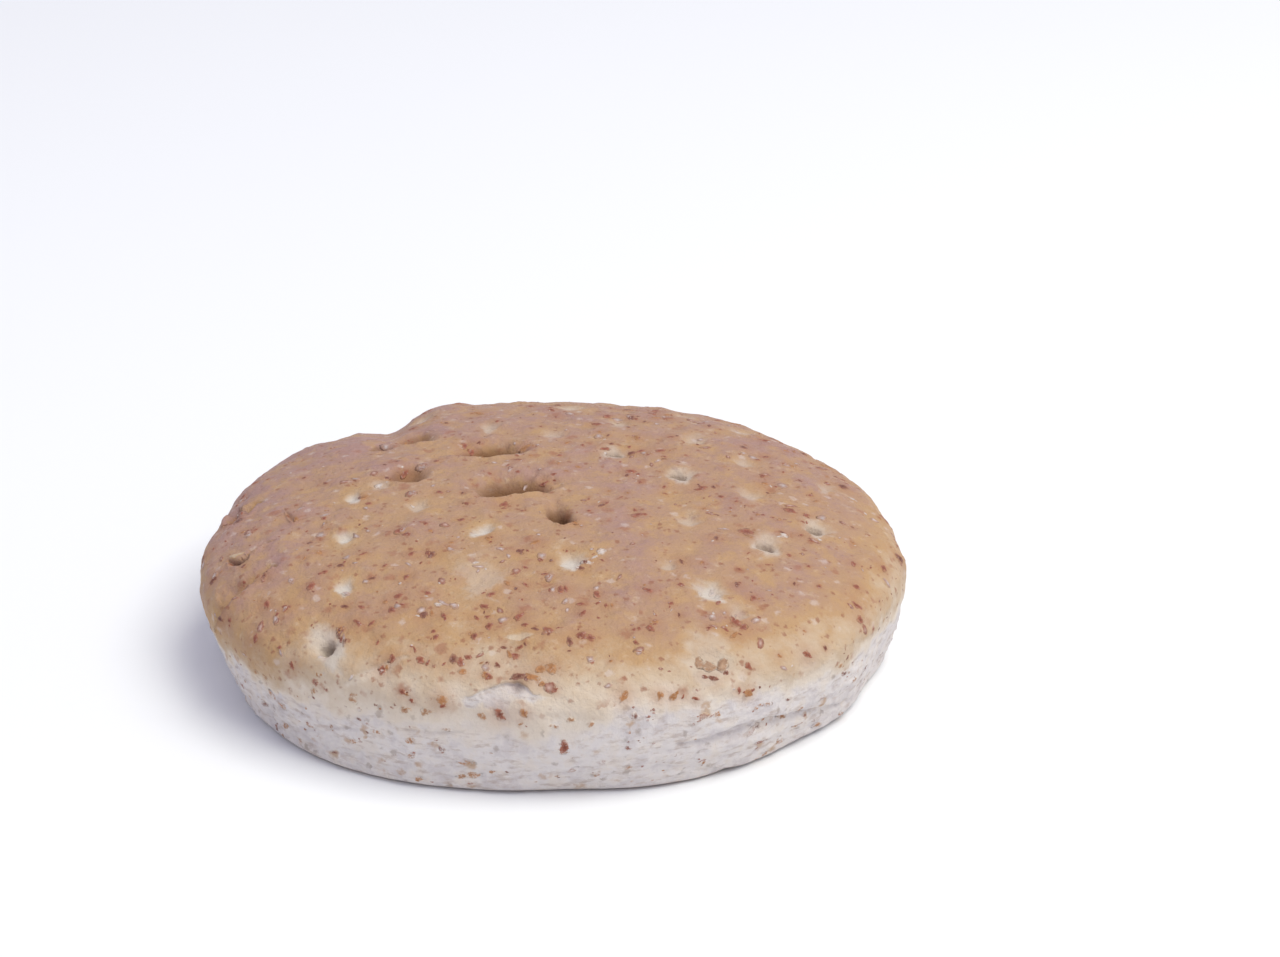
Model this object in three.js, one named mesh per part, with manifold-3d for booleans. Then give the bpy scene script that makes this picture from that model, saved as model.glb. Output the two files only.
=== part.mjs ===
// Hallulla: a round, flat wholemeal bread, baked in one piece.
// A low dome of browned crust stands on a pale wall that draws in to a nearly flat underside.
// Before baking, a docker (a board of blunt pins) was pressed into the top, which left
// rows of dimples and holes, and flakes of bran stand out of the crust and the wall.
//
// Units are millimetres. +Z is up and +Y points away from the side that faces the viewer.
// The origin is under the middle of the bread, on the surface that it rests on.

import * as THREE from "three";
import { mergeVertices } from "three/addons/utils/BufferGeometryUtils.js";
import Module from "manifold-3d";

const wasm = await Module();
wasm.setup();

// Driving dimensions of the whole bread
const HALF_WIDTH = 55;
const HALF_DEPTH = 53.6;
const THICKNESS = 25.6;
const WAIST_HEIGHT = 14.2;
const FOOT_SHARE = 0.905;
const DOME_POWER = 2.3;
const CRUST_COLOUR = 0xb08c6e;

// Uneven outline: slow waves round the rim, and tucks where the dough was pulled in
const OUTLINE_WAVES = [
  { count: 2, rise: 0.006, crest: -35 },
  { count: 3, rise: 0.007, crest: -155 },
  { count: 5, rise: 0.004, crest: 70 },
];
const RIM_TUCKS = [
  { bearing: 171, spread: 6, depth: 1.5 },
  { bearing: 186, spread: 5, depth: -0.4 },
  { bearing: 38, spread: 8, depth: 1.0 },
  { bearing: -22, spread: 7, depth: 0.8 },
];

// Where the wall draws in further to the foot, or with a depth below zero less far
const FOOT_TUCKS = [
  { bearing: -165, spread: 15, depth: 2.3 },
  { bearing: -122, spread: 19, depth: -1.9 },
  { bearing: -86, spread: 9, depth: 1.0 },
  { bearing: -44, spread: 10, depth: 0.9 },
];

// The underside is a touch hollow: its flat middle stands clear of the surface, and its edge, from a share
// of its radius on, dips to the surface at low spots that are evenly spaced from a bearing
const FOOT_HOLLOW = 0.2;
const FOOT_EDGE = { starts: 0.75, ends: 0.9 };
const FOOT_SPOTS = { count: 3, bearing: 90 };

// Swells and hollows of the top, each a soft mound at a place in plan
const SWELLS = [
  { x: -11, y: 45, reach: 14, rise: 1.3 },
  { x: -26, y: 39, reach: 6, rise: -2.2 },
  { x: -40, y: 28, reach: 8, rise: 0.6 },
  { x: -44, y: 14, reach: 12, rise: 0.7 },
  { x: -40, y: -22, reach: 13, rise: 0.5 },
  { x: 28, y: 26, reach: 17, rise: 0.9 },
  { x: 14, y: 6, reach: 14, rise: -0.6 },
];
const RELIEF_STARTS = 6;

// Dents in the top, from the docker's pins and from folds and tears of the dough. Each is a soft bowl
// with its reach across the bread and along its depth, and a bore is the hole that some pins left in it.
const MARK_KINDS = {
  dimple: { across: 3.4, along: 3.4, sink: 1.0 },
  scoop: { across: 3.4, along: 3.6, sink: 2.1 },
  prick: { across: 3.4, along: 3.4, sink: 1.1, bore: { mouth: 1.2, depth: 4.5 } },
  pit: { across: 4.4, along: 4.0, sink: 1.5, bore: { mouth: 1.6, depth: 6 } },
  trough: { across: 6.6, along: 3.2, sink: 2.7 },
  fold: { across: 8.5, along: 2.2, sink: 1.0 },
  tear: { across: 5.4, along: 2.8, sink: 1.3 },
};

// Where each kind of mark is, in plan, with its turn in degrees if it lies askew
const MARK_PLACES = {
  dimple: [
    [-31.6, 1.6], [-31.5, -12.2], [-30.3, -27.2], [-20.6, -3], [-10, -13.1],
    [-3, -42], [3, -22.4], [18.4, -22.8], [23, -27.8], [23.5, -45],
  ],
  scoop: [[-23.5, 7.5], [-23, 24.5]],
  prick: [[-32, -39.6], [-29, 21], [-47.5, -13.5]],
  pit: [[1.5, -9]],
  trough: [[-6, 0.5, 4], [-10.5, 16.5, -4]],
  fold: [[-45.5, -21, 56], [-28, 35, 80]],
  tear: [[-5.5, -51.5]],
};

// The rest of the docker's pins stand in staggered columns over the far right of the top
const PIN_COLUMN_PITCH = 10.7;
const PIN_ROW_PITCH = 15;
const PIN_COLUMNS = 5;
const PIN_ROWS = 3;
const PIN_DRIFT = 1.8;
const PIN_REACH = 0.86;
const PIN_CLEARANCE = 9;
const PIN_LINE = 12;
const PIN_PRICK_CHANCE = 0.3;
const PIN_SEED = 7;

// The shape of every bore: it flares above the skin and narrows to its tip
const BORE_FLARE = 1.15;
const BORE_TIP = 0.45;
const BORE_STANDS_OUT = 1.5;

// Bran flakes, the largest first
const TOP_FLAKES = 78;
const WALL_FLAKES = 30;
const FLAKE_LENGTH = { longest: 3.1, shortest: 1.5 };
const FLAKE_SLIMNESS = { least: 0.45, most: 0.75 };
const FLAKE_THICKNESS = 0.9;
const FLAKE_STANDS_OUT = 0.28;
const FLAKE_TOP_REACH = 0.97;
const FLAKE_WALL = { low: 3, high: 12.5 };
const FLAKE_STRIDE = 29;
const FLAKE_SEED = 23;
const GOLDEN_ANGLE = Math.PI * (3 - Math.sqrt(5));

// How finely the skin is divided, and how its triangles are shared out
const SKIN_DETAIL = 17;
const DOME_TRIANGLE_SHARE = 0.64;
const WALL_TRIANGLE_SHARE = 0.28;
const BORE_SIDES = 10;

const radians = THREE.MathUtils.degToRad;
const quarterTurn = Math.PI / 2;
const UPWARDS = new THREE.Vector3(0, 0, 1);

// Seeded random numbers from 0 to 1, the same at each run
function seededRandom(seed) {
  let state = seed;
  return () => {
    state = (Math.imul(state, 1664525) + 1013904223) >>> 0;
    return state / 2 ** 32;
  };
}

function softBump(distance, reach) {
  return Math.exp(-((distance / reach) ** 2));
}

// The smallest turn between two bearings, in degrees
function turnBetween(a, b) {
  return Math.abs(((((a - b) % 360) + 540) % 360) - 180);
}

// How far a list of tucks draws the dough in at a bearing, as a share of the radius
function tuckShare(tucks, angle) {
  const bearing = THREE.MathUtils.radToDeg(angle);
  let drawn = 0;
  for (const { bearing: at, spread, depth } of tucks) {
    drawn += depth * softBump(turnBetween(bearing, at), spread);
  }
  return drawn / HALF_WIDTH;
}

// The rim's distance from the middle at a bearing, as a share of the plain oval's
function outlineShare(angle) {
  let share = 1;
  for (const { count, rise, crest } of OUTLINE_WAVES) {
    share += rise * Math.cos(count * (angle - radians(crest)));
  }
  return share - tuckShare(RIM_TUCKS, angle);
}

// Half of the dome's section, from the middle of the top to the waist, as (radius, height)
class DomeSection extends THREE.Curve {
  getPoint(t, target = new THREE.Vector2()) {
    const angle = (1 - t) * quarterTurn;
    const power = 2 / DOME_POWER;
    const rise = (THICKNESS - WAIST_HEIGHT) * Math.sin(angle) ** power;
    return target.set(HALF_WIDTH * Math.cos(angle) ** power, WAIST_HEIGHT + rise);
  }
}

// Half of the wall's section, from the waist down to the edge of the foot
class WallSection extends THREE.Curve {
  getPoint(t, target = new THREE.Vector2()) {
    const angle = t * quarterTurn;
    const share = FOOT_SHARE + (1 - FOOT_SHARE) * Math.cos(angle);
    return target.set(HALF_WIDTH * share, WAIST_HEIGHT * (1 - Math.sin(angle)));
  }
}

const domeSection = new DomeSection();
const wallSection = new WallSection();

// How far the underside stands clear of the surface, at a share of its radius and a bearing
function footClearance(share, angle) {
  const edge = THREE.MathUtils.smoothstep(share, FOOT_EDGE.starts, FOOT_EDGE.ends);
  const wave = Math.abs(Math.sin((FOOT_SPOTS.count / 2) * (angle - radians(FOOT_SPOTS.bearing))));
  return FOOT_HOLLOW * THREE.MathUtils.lerp(1, wave, edge);
}

// A place on the form before its relief, at a share of the radius, a bearing and a height
function placeOnForm(share, angle, height) {
  const belowWaist = Math.max(0, 1 - height / WAIST_HEIGHT) ** 2;
  const out = share * (outlineShare(angle) - tuckShare(FOOT_TUCKS, angle) * belowWaist);
  return new THREE.Vector3(
    HALF_WIDTH * out * Math.cos(angle),
    HALF_DEPTH * out * Math.sin(angle),
    height + footClearance(share / FOOT_SHARE, angle) * belowWaist,
  );
}

// The share of the radius and the bearing of a place in plan
function planShare(x, y) {
  const angle = Math.atan2(y / HALF_DEPTH, x / HALF_WIDTH);
  return { angle, share: Math.hypot(x / HALF_WIDTH, y / HALF_DEPTH) / outlineShare(angle) };
}

// The dome's height over a place in plan
function domeHeight(x, y) {
  const share = Math.min(1, planShare(x, y).share);
  return WAIST_HEIGHT + (THICKNESS - WAIST_HEIGHT) * (1 - share ** DOME_POWER) ** (1 / DOME_POWER);
}

// The outward direction of the dome at a place on it
function domeNormal(place) {
  const { share } = planShare(place.x, place.y);
  const sideways = share ** (DOME_POWER - 2);
  const upwards = ((place.z - WAIST_HEIGHT) / (THICKNESS - WAIST_HEIGHT)) ** (DOME_POWER - 1);
  return new THREE.Vector3(
    (sideways * place.x) / HALF_WIDTH ** 2,
    (sideways * place.y) / HALF_DEPTH ** 2,
    upwards / (THICKNESS - WAIST_HEIGHT),
  ).normalize();
}

// Every mark on the top: those at known places, then the far right's pins, which drift a little
function dockerMarks() {
  const marks = [];
  const addMark = (kind, x, y, turn = 0) => {
    const place = new THREE.Vector3(x, y, domeHeight(x, y));
    marks.push({ ...MARK_KINDS[kind], place, normal: domeNormal(place), turn: radians(turn) });
  };
  for (const [kind, places] of Object.entries(MARK_PLACES)) {
    for (const place of places) addMark(kind, ...place);
  }
  const random = seededRandom(PIN_SEED);
  const drift = () => PIN_DRIFT * (2 * random() - 1);
  for (let column = -PIN_COLUMNS; column <= PIN_COLUMNS; column++) {
    for (let row = -PIN_ROWS; row <= PIN_ROWS; row++) {
      const stagger = column % 2 === 0 ? -0.5 : 0;
      const x = column * PIN_COLUMN_PITCH + drift();
      const y = (row + stagger) * PIN_ROW_PITCH + drift();
      const kind = random() < PIN_PRICK_CHANCE ? "prick" : "dimple";
      const clear = marks.every(({ place }) => Math.hypot(place.x - x, place.y - y) > PIN_CLEARANCE);
      if (x + y > PIN_LINE && clear && planShare(x, y).share < PIN_REACH) addMark(kind, x, y);
    }
  }
  return marks;
}

const marks = dockerMarks();

// How deep a mark's bowl is at a place on the form
function bowlDepth(mark, place) {
  const offset = place.clone().sub(mark.place).applyAxisAngle(UPWARDS, -mark.turn);
  const reach = Math.hypot(offset.x / mark.across, offset.y / mark.along, offset.z / mark.along);
  return mark.sink * softBump(reach, 1);
}

// How far the skin stands out of the form at a place on it. The wall's lower part has no relief.
function relief(place) {
  let out = 0;
  for (const { x, y, reach, rise } of SWELLS) {
    out += rise * softBump(Math.hypot(place.x - x, place.y - y), reach);
  }
  for (const mark of marks) out -= bowlDepth(mark, place);
  return out * THREE.MathUtils.smoothstep(place.z, RELIEF_STARTS, WAIST_HEIGHT);
}

// A closed geometry with only positions, its shared corners merged
function bare(geometry) {
  geometry.deleteAttribute("normal");
  geometry.deleteAttribute("uv");
  return mergeVertices(geometry);
}

function solidOf(geometry) {
  const vertProperties = new Float32Array(geometry.attributes.position.array);
  const triVerts = new Uint32Array(geometry.index.array);
  return new wasm.Manifold(new wasm.Mesh({ numProp: 3, vertProperties, triVerts }));
}

function geometryOf(solid) {
  const { vertProperties, triVerts } = solid.getMesh();
  const geometry = new THREE.BufferGeometry();
  geometry.setAttribute("position", new THREE.BufferAttribute(vertProperties, 3));
  geometry.setIndex(new THREE.BufferAttribute(triVerts, 1));
  return geometry;
}

// The skin: a ball of even triangles, drawn out over the dome, the wall and the foot
function doughSkin() {
  const geometry = bare(new THREE.IcosahedronGeometry(1, SKIN_DETAIL));
  const corners = geometry.attributes.position;
  const corner = new THREE.Vector3();
  const wallEnd = DOME_TRIANGLE_SHARE + WALL_TRIANGLE_SHARE;
  for (let i = 0; i < corners.count; i++) {
    corner.fromBufferAttribute(corners, i).normalize();
    const angle = Math.atan2(corner.y, corner.x);
    const below = (1 - corner.z) / 2;
    let section;
    if (below <= DOME_TRIANGLE_SHARE) {
      section = domeSection.getPointAt(Math.sqrt(below / DOME_TRIANGLE_SHARE));
    } else if (below <= wallEnd) {
      section = wallSection.getPointAt((below - DOME_TRIANGLE_SHARE) / WALL_TRIANGLE_SHARE);
    } else {
      const footRadius = HALF_WIDTH * FOOT_SHARE;
      section = new THREE.Vector2(footRadius * Math.sqrt((1 - below) / (1 - wallEnd)), 0);
    }
    corners.setXYZ(i, ...placeOnForm(section.x / HALF_WIDTH, angle, section.y).toArray());
  }
  geometry.computeVertexNormals();
  const plain = corners.clone();
  const normal = new THREE.Vector3();
  for (let i = 0; i < corners.count; i++) {
    corner.fromBufferAttribute(plain, i);
    normal.fromBufferAttribute(geometry.attributes.normal, i);
    corner.addScaledVector(normal, relief(corner));
    corners.setXYZ(i, ...corner.toArray());
  }
  geometry.deleteAttribute("normal");
  return geometry;
}

// The turn and shift that stand a thing on the skin, over a place on the form that faces along the normal
function standingOnSkin(place, normal) {
  const turn = new THREE.Quaternion().setFromUnitVectors(UPWARDS, normal);
  const foot = place.clone().addScaledVector(normal, relief(place));
  return new THREE.Matrix4().makeRotationFromQuaternion(turn).setPosition(foot);
}

// A tapered hole that a pin left, as the plug that fills it
function borePlug({ place, normal, sink, bore: { mouth, depth } }) {
  const above = sink + BORE_STANDS_OUT;
  const plug = new THREE.CylinderGeometry(mouth * BORE_FLARE, mouth * BORE_TIP, depth + above, BORE_SIDES);
  plug.rotateX(quarterTurn);
  plug.translate(0, 0, (above - depth) / 2);
  plug.applyMatrix4(standingOnSkin(place, normal));
  return solidOf(bare(plug));
}

// One bran flake, a slim flat crumb that lies in the skin and stands out of it a little
function branFlake(place, normal, length, random) {
  const slimness = THREE.MathUtils.lerp(FLAKE_SLIMNESS.least, FLAKE_SLIMNESS.most, random());
  const flake = new THREE.IcosahedronGeometry(0.5, 0);
  flake.scale(length, length * slimness, FLAKE_THICKNESS);
  flake.rotateZ(2 * Math.PI * random());
  flake.translate(0, 0, FLAKE_STANDS_OUT - FLAKE_THICKNESS / 2);
  flake.applyMatrix4(standingOnSkin(place, normal));
  return solidOf(bare(flake));
}

// The largest flakes, spread over the dome in a sunflower's spiral and round the wall by the same turn
function branFlakes() {
  const random = seededRandom(FLAKE_SEED);
  const flakes = [];
  const lengthOf = (index, count) =>
    THREE.MathUtils.lerp(FLAKE_LENGTH.longest, FLAKE_LENGTH.shortest, index / (count - 1));
  for (let i = 0; i < TOP_FLAKES; i++) {
    const turn = (i * FLAKE_STRIDE) % TOP_FLAKES;
    const spiral = Math.sqrt((turn + 0.5) / TOP_FLAKES);
    const plan = placeOnForm(FLAKE_TOP_REACH * spiral, turn * GOLDEN_ANGLE, WAIST_HEIGHT);
    const place = plan.setZ(domeHeight(plan.x, plan.y));
    const length = lengthOf(i, TOP_FLAKES);
    const inBore = ({ bore, place: hole }) => bore && place.distanceTo(hole) < bore.mouth + length;
    if (!marks.some(inBore)) flakes.push(branFlake(place, domeNormal(place), length, random));
  }
  for (let i = 0; i < WALL_FLAKES; i++) {
    const angle = i * GOLDEN_ANGLE;
    const height = THREE.MathUtils.lerp(FLAKE_WALL.low, FLAKE_WALL.high, random());
    const turn = Math.asin(1 - height / WAIST_HEIGHT);
    const share = FOOT_SHARE + (1 - FOOT_SHARE) * Math.cos(turn);
    const place = placeOnForm(share, angle, height);
    const lean = (1 - FOOT_SHARE) * Math.tan(turn) * HALF_WIDTH / WAIST_HEIGHT;
    const normal = new THREE.Vector3(Math.cos(angle), Math.sin(angle), -lean).normalize();
    flakes.push(branFlake(place, normal, lengthOf(i, WALL_FLAKES), random));
  }
  return flakes;
}

// The bread: the skin with the pins' holes cut out and the flakes joined on
function breadSolid() {
  let bread = solidOf(doughSkin());
  for (const mark of marks) {
    if (mark.bore) bread = bread.subtract(borePlug(mark));
  }
  for (const flake of branFlakes()) bread = bread.add(flake);
  return bread;
}

const bread = new THREE.Mesh(
  geometryOf(breadSolid()),
  new THREE.MeshStandardMaterial({ color: CRUST_COLOUR, roughness: 0.75, metalness: 0 }),
);
bread.name = "bread";
bread.geometry.computeBoundingBox();
const middle = bread.geometry.boundingBox.getCenter(new THREE.Vector3());
bread.position.set(-middle.x, -middle.y, -bread.geometry.boundingBox.min.z);

const hallulla = new THREE.Group();
hallulla.name = "hallulla";
hallulla.add(bread);

export default hallulla;
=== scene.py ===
# %% [markdown]
# # A wholemeal hallulla
# A hallulla is a round, flat bread with a browned top and a pale wall. Before it goes into the oven,
# a board of blunt pins, a docker, is pressed into the dough so that it rises evenly.
# This lesson makes the bread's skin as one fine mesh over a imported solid, works out how brown
# each place is, and lays flakes of bran on it. The solid itself is never moved: it is the frame.

# %% Load the frame
import math

import bmesh
import bpy
import numpy as np
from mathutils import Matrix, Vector, noise
from mathutils.bvhtree import BVHTree
from mathutils.kdtree import KDTree


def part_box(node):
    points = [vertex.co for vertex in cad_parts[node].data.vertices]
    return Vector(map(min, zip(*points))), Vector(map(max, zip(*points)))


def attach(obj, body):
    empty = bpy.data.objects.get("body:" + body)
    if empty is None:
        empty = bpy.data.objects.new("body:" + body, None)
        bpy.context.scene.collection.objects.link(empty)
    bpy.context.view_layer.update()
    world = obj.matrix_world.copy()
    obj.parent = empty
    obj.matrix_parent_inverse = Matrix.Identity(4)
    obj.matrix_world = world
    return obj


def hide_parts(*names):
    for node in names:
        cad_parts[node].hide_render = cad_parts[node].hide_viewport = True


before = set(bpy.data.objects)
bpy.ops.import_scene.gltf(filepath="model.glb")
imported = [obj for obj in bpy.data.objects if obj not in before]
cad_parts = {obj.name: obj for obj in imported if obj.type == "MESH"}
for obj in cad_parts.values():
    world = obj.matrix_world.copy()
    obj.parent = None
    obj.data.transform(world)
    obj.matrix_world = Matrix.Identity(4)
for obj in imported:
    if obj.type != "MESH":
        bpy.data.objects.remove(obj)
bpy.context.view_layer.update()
MM = 0.001


def add_object(name, data):
    """A new object, linked into the scene."""
    made = bpy.data.objects.new(name, data)
    bpy.context.scene.collection.objects.link(made)
    return made


# %% [markdown]
# ## The plain form of the dough
# Without its marks, the bread is an oval dome on a wall that draws in to a flat foot.
# A sculpted ball could be pushed into that shape by eye. A formula is better here, because the
# solid was made by the same one, so that the skin lies where the solid is.
# Lengths are in millimetres until the mesh is made.

# %% The driving sizes
HALF_WIDTH = 55.0
HALF_DEPTH = 53.6
THICKNESS = 25.6
WAIST_HEIGHT = 14.2
FOOT_SHARE = 0.905
DOME_POWER = 2.3
print("thickness to width:", round(THICKNESS / (2 * HALF_WIDTH), 3))

# %% The uneven outline
OUTLINE_WAVES = [
    {"count": 2, "rise": 0.006, "crest": -35},
    {"count": 3, "rise": 0.007, "crest": -155},
    {"count": 5, "rise": 0.004, "crest": 70},
]
RIM_TUCKS = [
    {"bearing": 171, "spread": 6, "depth": 1.5},
    {"bearing": 186, "spread": 5, "depth": -0.4},
    {"bearing": 38, "spread": 8, "depth": 1.0},
    {"bearing": -22, "spread": 7, "depth": 0.8},
]
FOOT_TUCKS = [
    {"bearing": -165, "spread": 15, "depth": 2.3},
    {"bearing": -122, "spread": 19, "depth": -1.9},
    {"bearing": -86, "spread": 9, "depth": 1.0},
    {"bearing": -44, "spread": 10, "depth": 0.9},
]


def soft_bump(distance, reach):
    """1 in the middle, falling softly to almost nothing past the reach."""
    return np.exp(-((distance / reach) ** 2))


def smooth_step(value, start, end):
    """0 before the start, 1 after the end, and smooth in between."""
    share = np.clip((value - start) / (end - start), 0, 1)
    return share * share * (3 - 2 * share)


def turn_between(angle, bearing):
    """The smallest turn between angles in radians and a bearing in degrees, in degrees."""
    return np.abs((np.degrees(angle) - bearing + 540) % 360 - 180)


def tuck_share(tucks, angle):
    """How far a list of tucks draws the dough in, as a share of the radius."""
    drawn = sum(t["depth"] * soft_bump(turn_between(angle, t["bearing"]), t["spread"]) for t in tucks)
    return drawn / HALF_WIDTH


def outline_share(angle):
    """The rim's distance from the middle, as a share of the plain oval's."""
    waves = sum(w["rise"] * np.cos(w["count"] * (angle - math.radians(w["crest"]))) for w in OUTLINE_WAVES)
    return 1 + waves - tuck_share(RIM_TUCKS, angle)


rim = outline_share(np.linspace(-math.pi, math.pi, 720))
print("rim, share of the oval:", rim.min().round(3), "to", rim.max().round(3))

# %% The section, from the middle of the top down to the foot
SECTION_STEPS = 600


def dome_section(t):
    """Radius and height, from the middle of the top at t = 0 out to the waist at t = 1."""
    angle = (1 - t) * math.pi / 2
    power = 2 / DOME_POWER
    radius = HALF_WIDTH * np.cos(angle) ** power
    return radius, WAIST_HEIGHT + (THICKNESS - WAIST_HEIGHT) * np.sin(angle) ** power


def wall_section(t):
    """Radius and height, from the waist at t = 0 down to the foot at t = 1."""
    angle = t * math.pi / 2
    share = FOOT_SHARE + (1 - FOOT_SHARE) * np.cos(angle)
    return HALF_WIDTH * share, WAIST_HEIGHT * (1 - np.sin(angle))


def along_section(section, shares):
    """Radius and height at shares of a section's length."""
    t = np.linspace(0, 1, SECTION_STEPS)
    steps = np.hypot(*np.diff(section(t), axis=1))
    walked = np.concatenate([[0], np.cumsum(steps)])
    return section(np.interp(shares * walked[-1], walked, t))


def place_on_form(share, angle, height):
    """Places on the plain form, at a share of the radius, a bearing and a height."""
    below_waist = np.maximum(0, 1 - height / WAIST_HEIGHT)
    out = share * (outline_share(angle) - tuck_share(FOOT_TUCKS, angle) * below_waist**2)
    return np.stack([HALF_WIDTH * out * np.cos(angle), HALF_DEPTH * out * np.sin(angle), height], axis=-1)


def rim_share(x, y):
    """How far out a place is: 0 in the middle and 1 at the rim."""
    angle = math.atan2(y / HALF_DEPTH, x / HALF_WIDTH)
    return math.hypot(x / HALF_WIDTH, y / HALF_DEPTH) / outline_share(angle)


def dome_height(x, y):
    share = min(1, rim_share(x, y))
    return WAIST_HEIGHT + (THICKNESS - WAIST_HEIGHT) * (1 - share**DOME_POWER) ** (1 / DOME_POWER)


print("height over the middle and near the rim:", dome_height(0, 0), round(dome_height(50, 0), 1))

# %% [markdown]
# ## The camera
# The bread was photographed from in front and a little above. The camera comes before the pieces,
# because creases and flakes are placed by where they show in the picture.

# %% Set up the camera
PICTURE_WIDTH, PICTURE_HEIGHT = 1280, 957
SENSOR_WIDTH = 36.0
LENS = 84.68
CAMERA_ELEVATION = math.radians(24.35)
CAMERA_DISTANCE = 538.8
CAMERA_CLIP = 0.01
CAMERA_AIM = Vector((13.8, 60.9, 0.0))

camera = add_object("camera", bpy.data.cameras.new("camera"))
bpy.context.scene.camera = camera
camera.data.sensor_width = SENSOR_WIDTH
camera.data.lens = LENS
forward = Vector((0, math.cos(CAMERA_ELEVATION), -math.sin(CAMERA_ELEVATION)))
camera.location = (CAMERA_AIM - CAMERA_DISTANCE * forward) * MM
camera.rotation_euler = (math.pi / 2 - CAMERA_ELEVATION, 0, 0)
camera.data.clip_start = CAMERA_CLIP
print("camera, m:", [round(value, 3) for value in camera.location])

# %% [markdown]
# ## What was pressed into the top
# The docker's pins left dents in staggered rows. Some are shallow dimples, some scooped the dough
# out, and some went right through the skin. Each dent is a bowl with a crisp lip on the side that
# faces the viewer and a long slope on the other, and a bore is the hole in it. Pressing them with a
# Boolean would leave hard edges, so they are worked out as depths. The far right follows the rows.

# %% The kinds of dent, in millimetres
# A bowl reaches across, near and far, sinks in, and widens to its far end by a wedge.
# A bore has a mouth and a depth. Pale is a share of colour. The golden share is darker golden crust,
# partly painted shade in the bowl, and the dark share is painted shade on the viewer's side of the bowl.
MARK_KINDS = {
    "dimple": {"across": 1.2, "near": 0.9, "far": 2.0, "sink": 0.55, "pale": 0.85},
    "hollow": {"across": 1.4, "near": 1.0, "far": 2.2, "sink": 0.5, "pale": 0.4},
    "scoop": {"across": 2.9, "near": 1.9, "far": 4.6, "sink": 1.9, "golden_and_shade": 0.6, "painted_shade": 0.12},
    "trough": {"across": 5.8, "near": 1.9, "far": 5.4, "sink": 4.0, "golden_and_shade": 0.95, "painted_shade": 0.4},
    "pinch": {"across": 1.8, "near": 1.0, "far": 2.2, "sink": 0.9, "golden_and_shade": 0.5, "painted_shade": 0.1},
    "prick": {
        "across": 2.4, "near": 1.8, "far": 2.4, "sink": 0.8, "pale": 0.6, "mouth": 1.45, "depth": 2.0,
    },
    "pit": {
        "across": 1.25, "near": 1.1, "far": 6.8, "sink": 4.2, "wedge": 0.6,
        "golden_and_shade": 0.95, "painted_shade": 0.9, "mouth": 0.9, "depth": 3.0,
    },
    "scar": {"across": 3.2, "near": 1.8, "far": 2.0, "sink": 0.8, "pale": 0.3},
    "bloom": {"across": 3.4, "near": 2.2, "far": 2.6, "sink": 0.2, "pale": 0.3},
}
MARK_PLACES = {
    "dimple": [
        (-31.4, 0.3), (-31.5, -13.6), (-30.2, -28), (-10, -14.2, 0, 1.2), (3.3, -23.5, 0, 1.3),
        (24, -30.4, 0, 1.5),
    ],
    "hollow": [(-20.9, -4.4), (18, -24.2), (28.3, -34.6), (-27.2, 4.5)],
    "scoop": [(-23.5, 7.3), (-23, 24.2, 0, 0.8)],
    "trough": [(-6, 0.7, 20), (-10.5, 16.5, 8, 0.85)],
    "pinch": [(-29, 21.3)],
    "prick": [(-32, -39.6, 25)],
    "pit": [(2.2, -11.0, 15)],
    "scar": [(23.5, -45)],
    "bloom": [(-9.5, -27.5)],
}
SCALED = ("across", "near", "far", "sink", "mouth")


def make_mark(kind, x, y, turn=0.0, scale=1.0):
    """A dent of a kind at a place, turned in degrees and scaled."""
    mark = {"pale": 0, "golden_and_shade": 0, "painted_shade": 0, "wedge": 0}
    mark["place"] = np.array([x, y, dome_height(x, y)])
    mark["turn"] = math.radians(turn)
    for name, value in MARK_KINDS[kind].items():
        mark[name] = value * scale if name in SCALED else value
    return mark


marks = [make_mark(kind, *place) for kind, places in MARK_PLACES.items() for place in places]
print("marks that show:", len(marks))

# %% The pins over the far right
PIN_COLUMN_PITCH = 10.7
PIN_ROW_PITCH = 15.0
PIN_COLUMNS = 5
PIN_ROWS = 3
PIN_STAGGER = -0.5
PIN_DRIFT = 1.8
PIN_REACH = 0.86
PIN_CLEARANCE = 9.0
PIN_LINE = 12.0
PIN_PRICK_CHANCE = 0.3
PIN_SMALLEST = 0.8
PIN_SPREAD = 0.5
PIN_SEED = 7
RANDOM_FACTOR = 1664525
RANDOM_STEP = 1013904223
RANDOM_RANGE = 2**32


def seeded_random(seed):
    """Numbers from 0 to 1, the same as the solid's for the same seed."""
    state = seed
    while True:
        state = (state * RANDOM_FACTOR + RANDOM_STEP) % RANDOM_RANGE
        yield state / RANDOM_RANGE


def fits_the_top(x, y):
    """Whether a place is on the far right of the top and clear of the other marks."""
    clear = all(np.hypot(*(m["place"][:2] - (x, y))) > PIN_CLEARANCE for m in marks)
    return x + y > PIN_LINE and rim_share(x, y) < PIN_REACH and clear


draw = seeded_random(PIN_SEED)
for column in range(-PIN_COLUMNS, PIN_COLUMNS + 1):
    for row in range(-PIN_ROWS, PIN_ROWS + 1):
        stagger = PIN_STAGGER if column % 2 == 0 else 0
        x = column * PIN_COLUMN_PITCH + PIN_DRIFT * (2 * next(draw) - 1)
        y = (row + stagger) * PIN_ROW_PITCH + PIN_DRIFT * (2 * next(draw) - 1)
        luck = next(draw)
        kind = "prick" if luck < PIN_PRICK_CHANCE else "hollow"
        if fits_the_top(x, y):
            marks.append(make_mark(kind, x, y, scale=PIN_SMALLEST + PIN_SPREAD * luck))
print("marks in all:", len(marks), "of which bored:", sum("mouth" in m for m in marks))

# %% [markdown]
# ## A ball of quads
# The skin starts as a ball, because a ball closes without seams. A UV sphere has poles where its
# faces pinch, and that would show in the middle of the crust. A cube that is divided evenly and
# blown up has no poles. Its corners are then drawn out over the dome, the wall and the foot.

# %% Blow up a cube
BALL_DIVISIONS = 116
DOME_SHARE_OF_BALL = 0.68
WALL_SHARE_OF_BALL = 0.28


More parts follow.
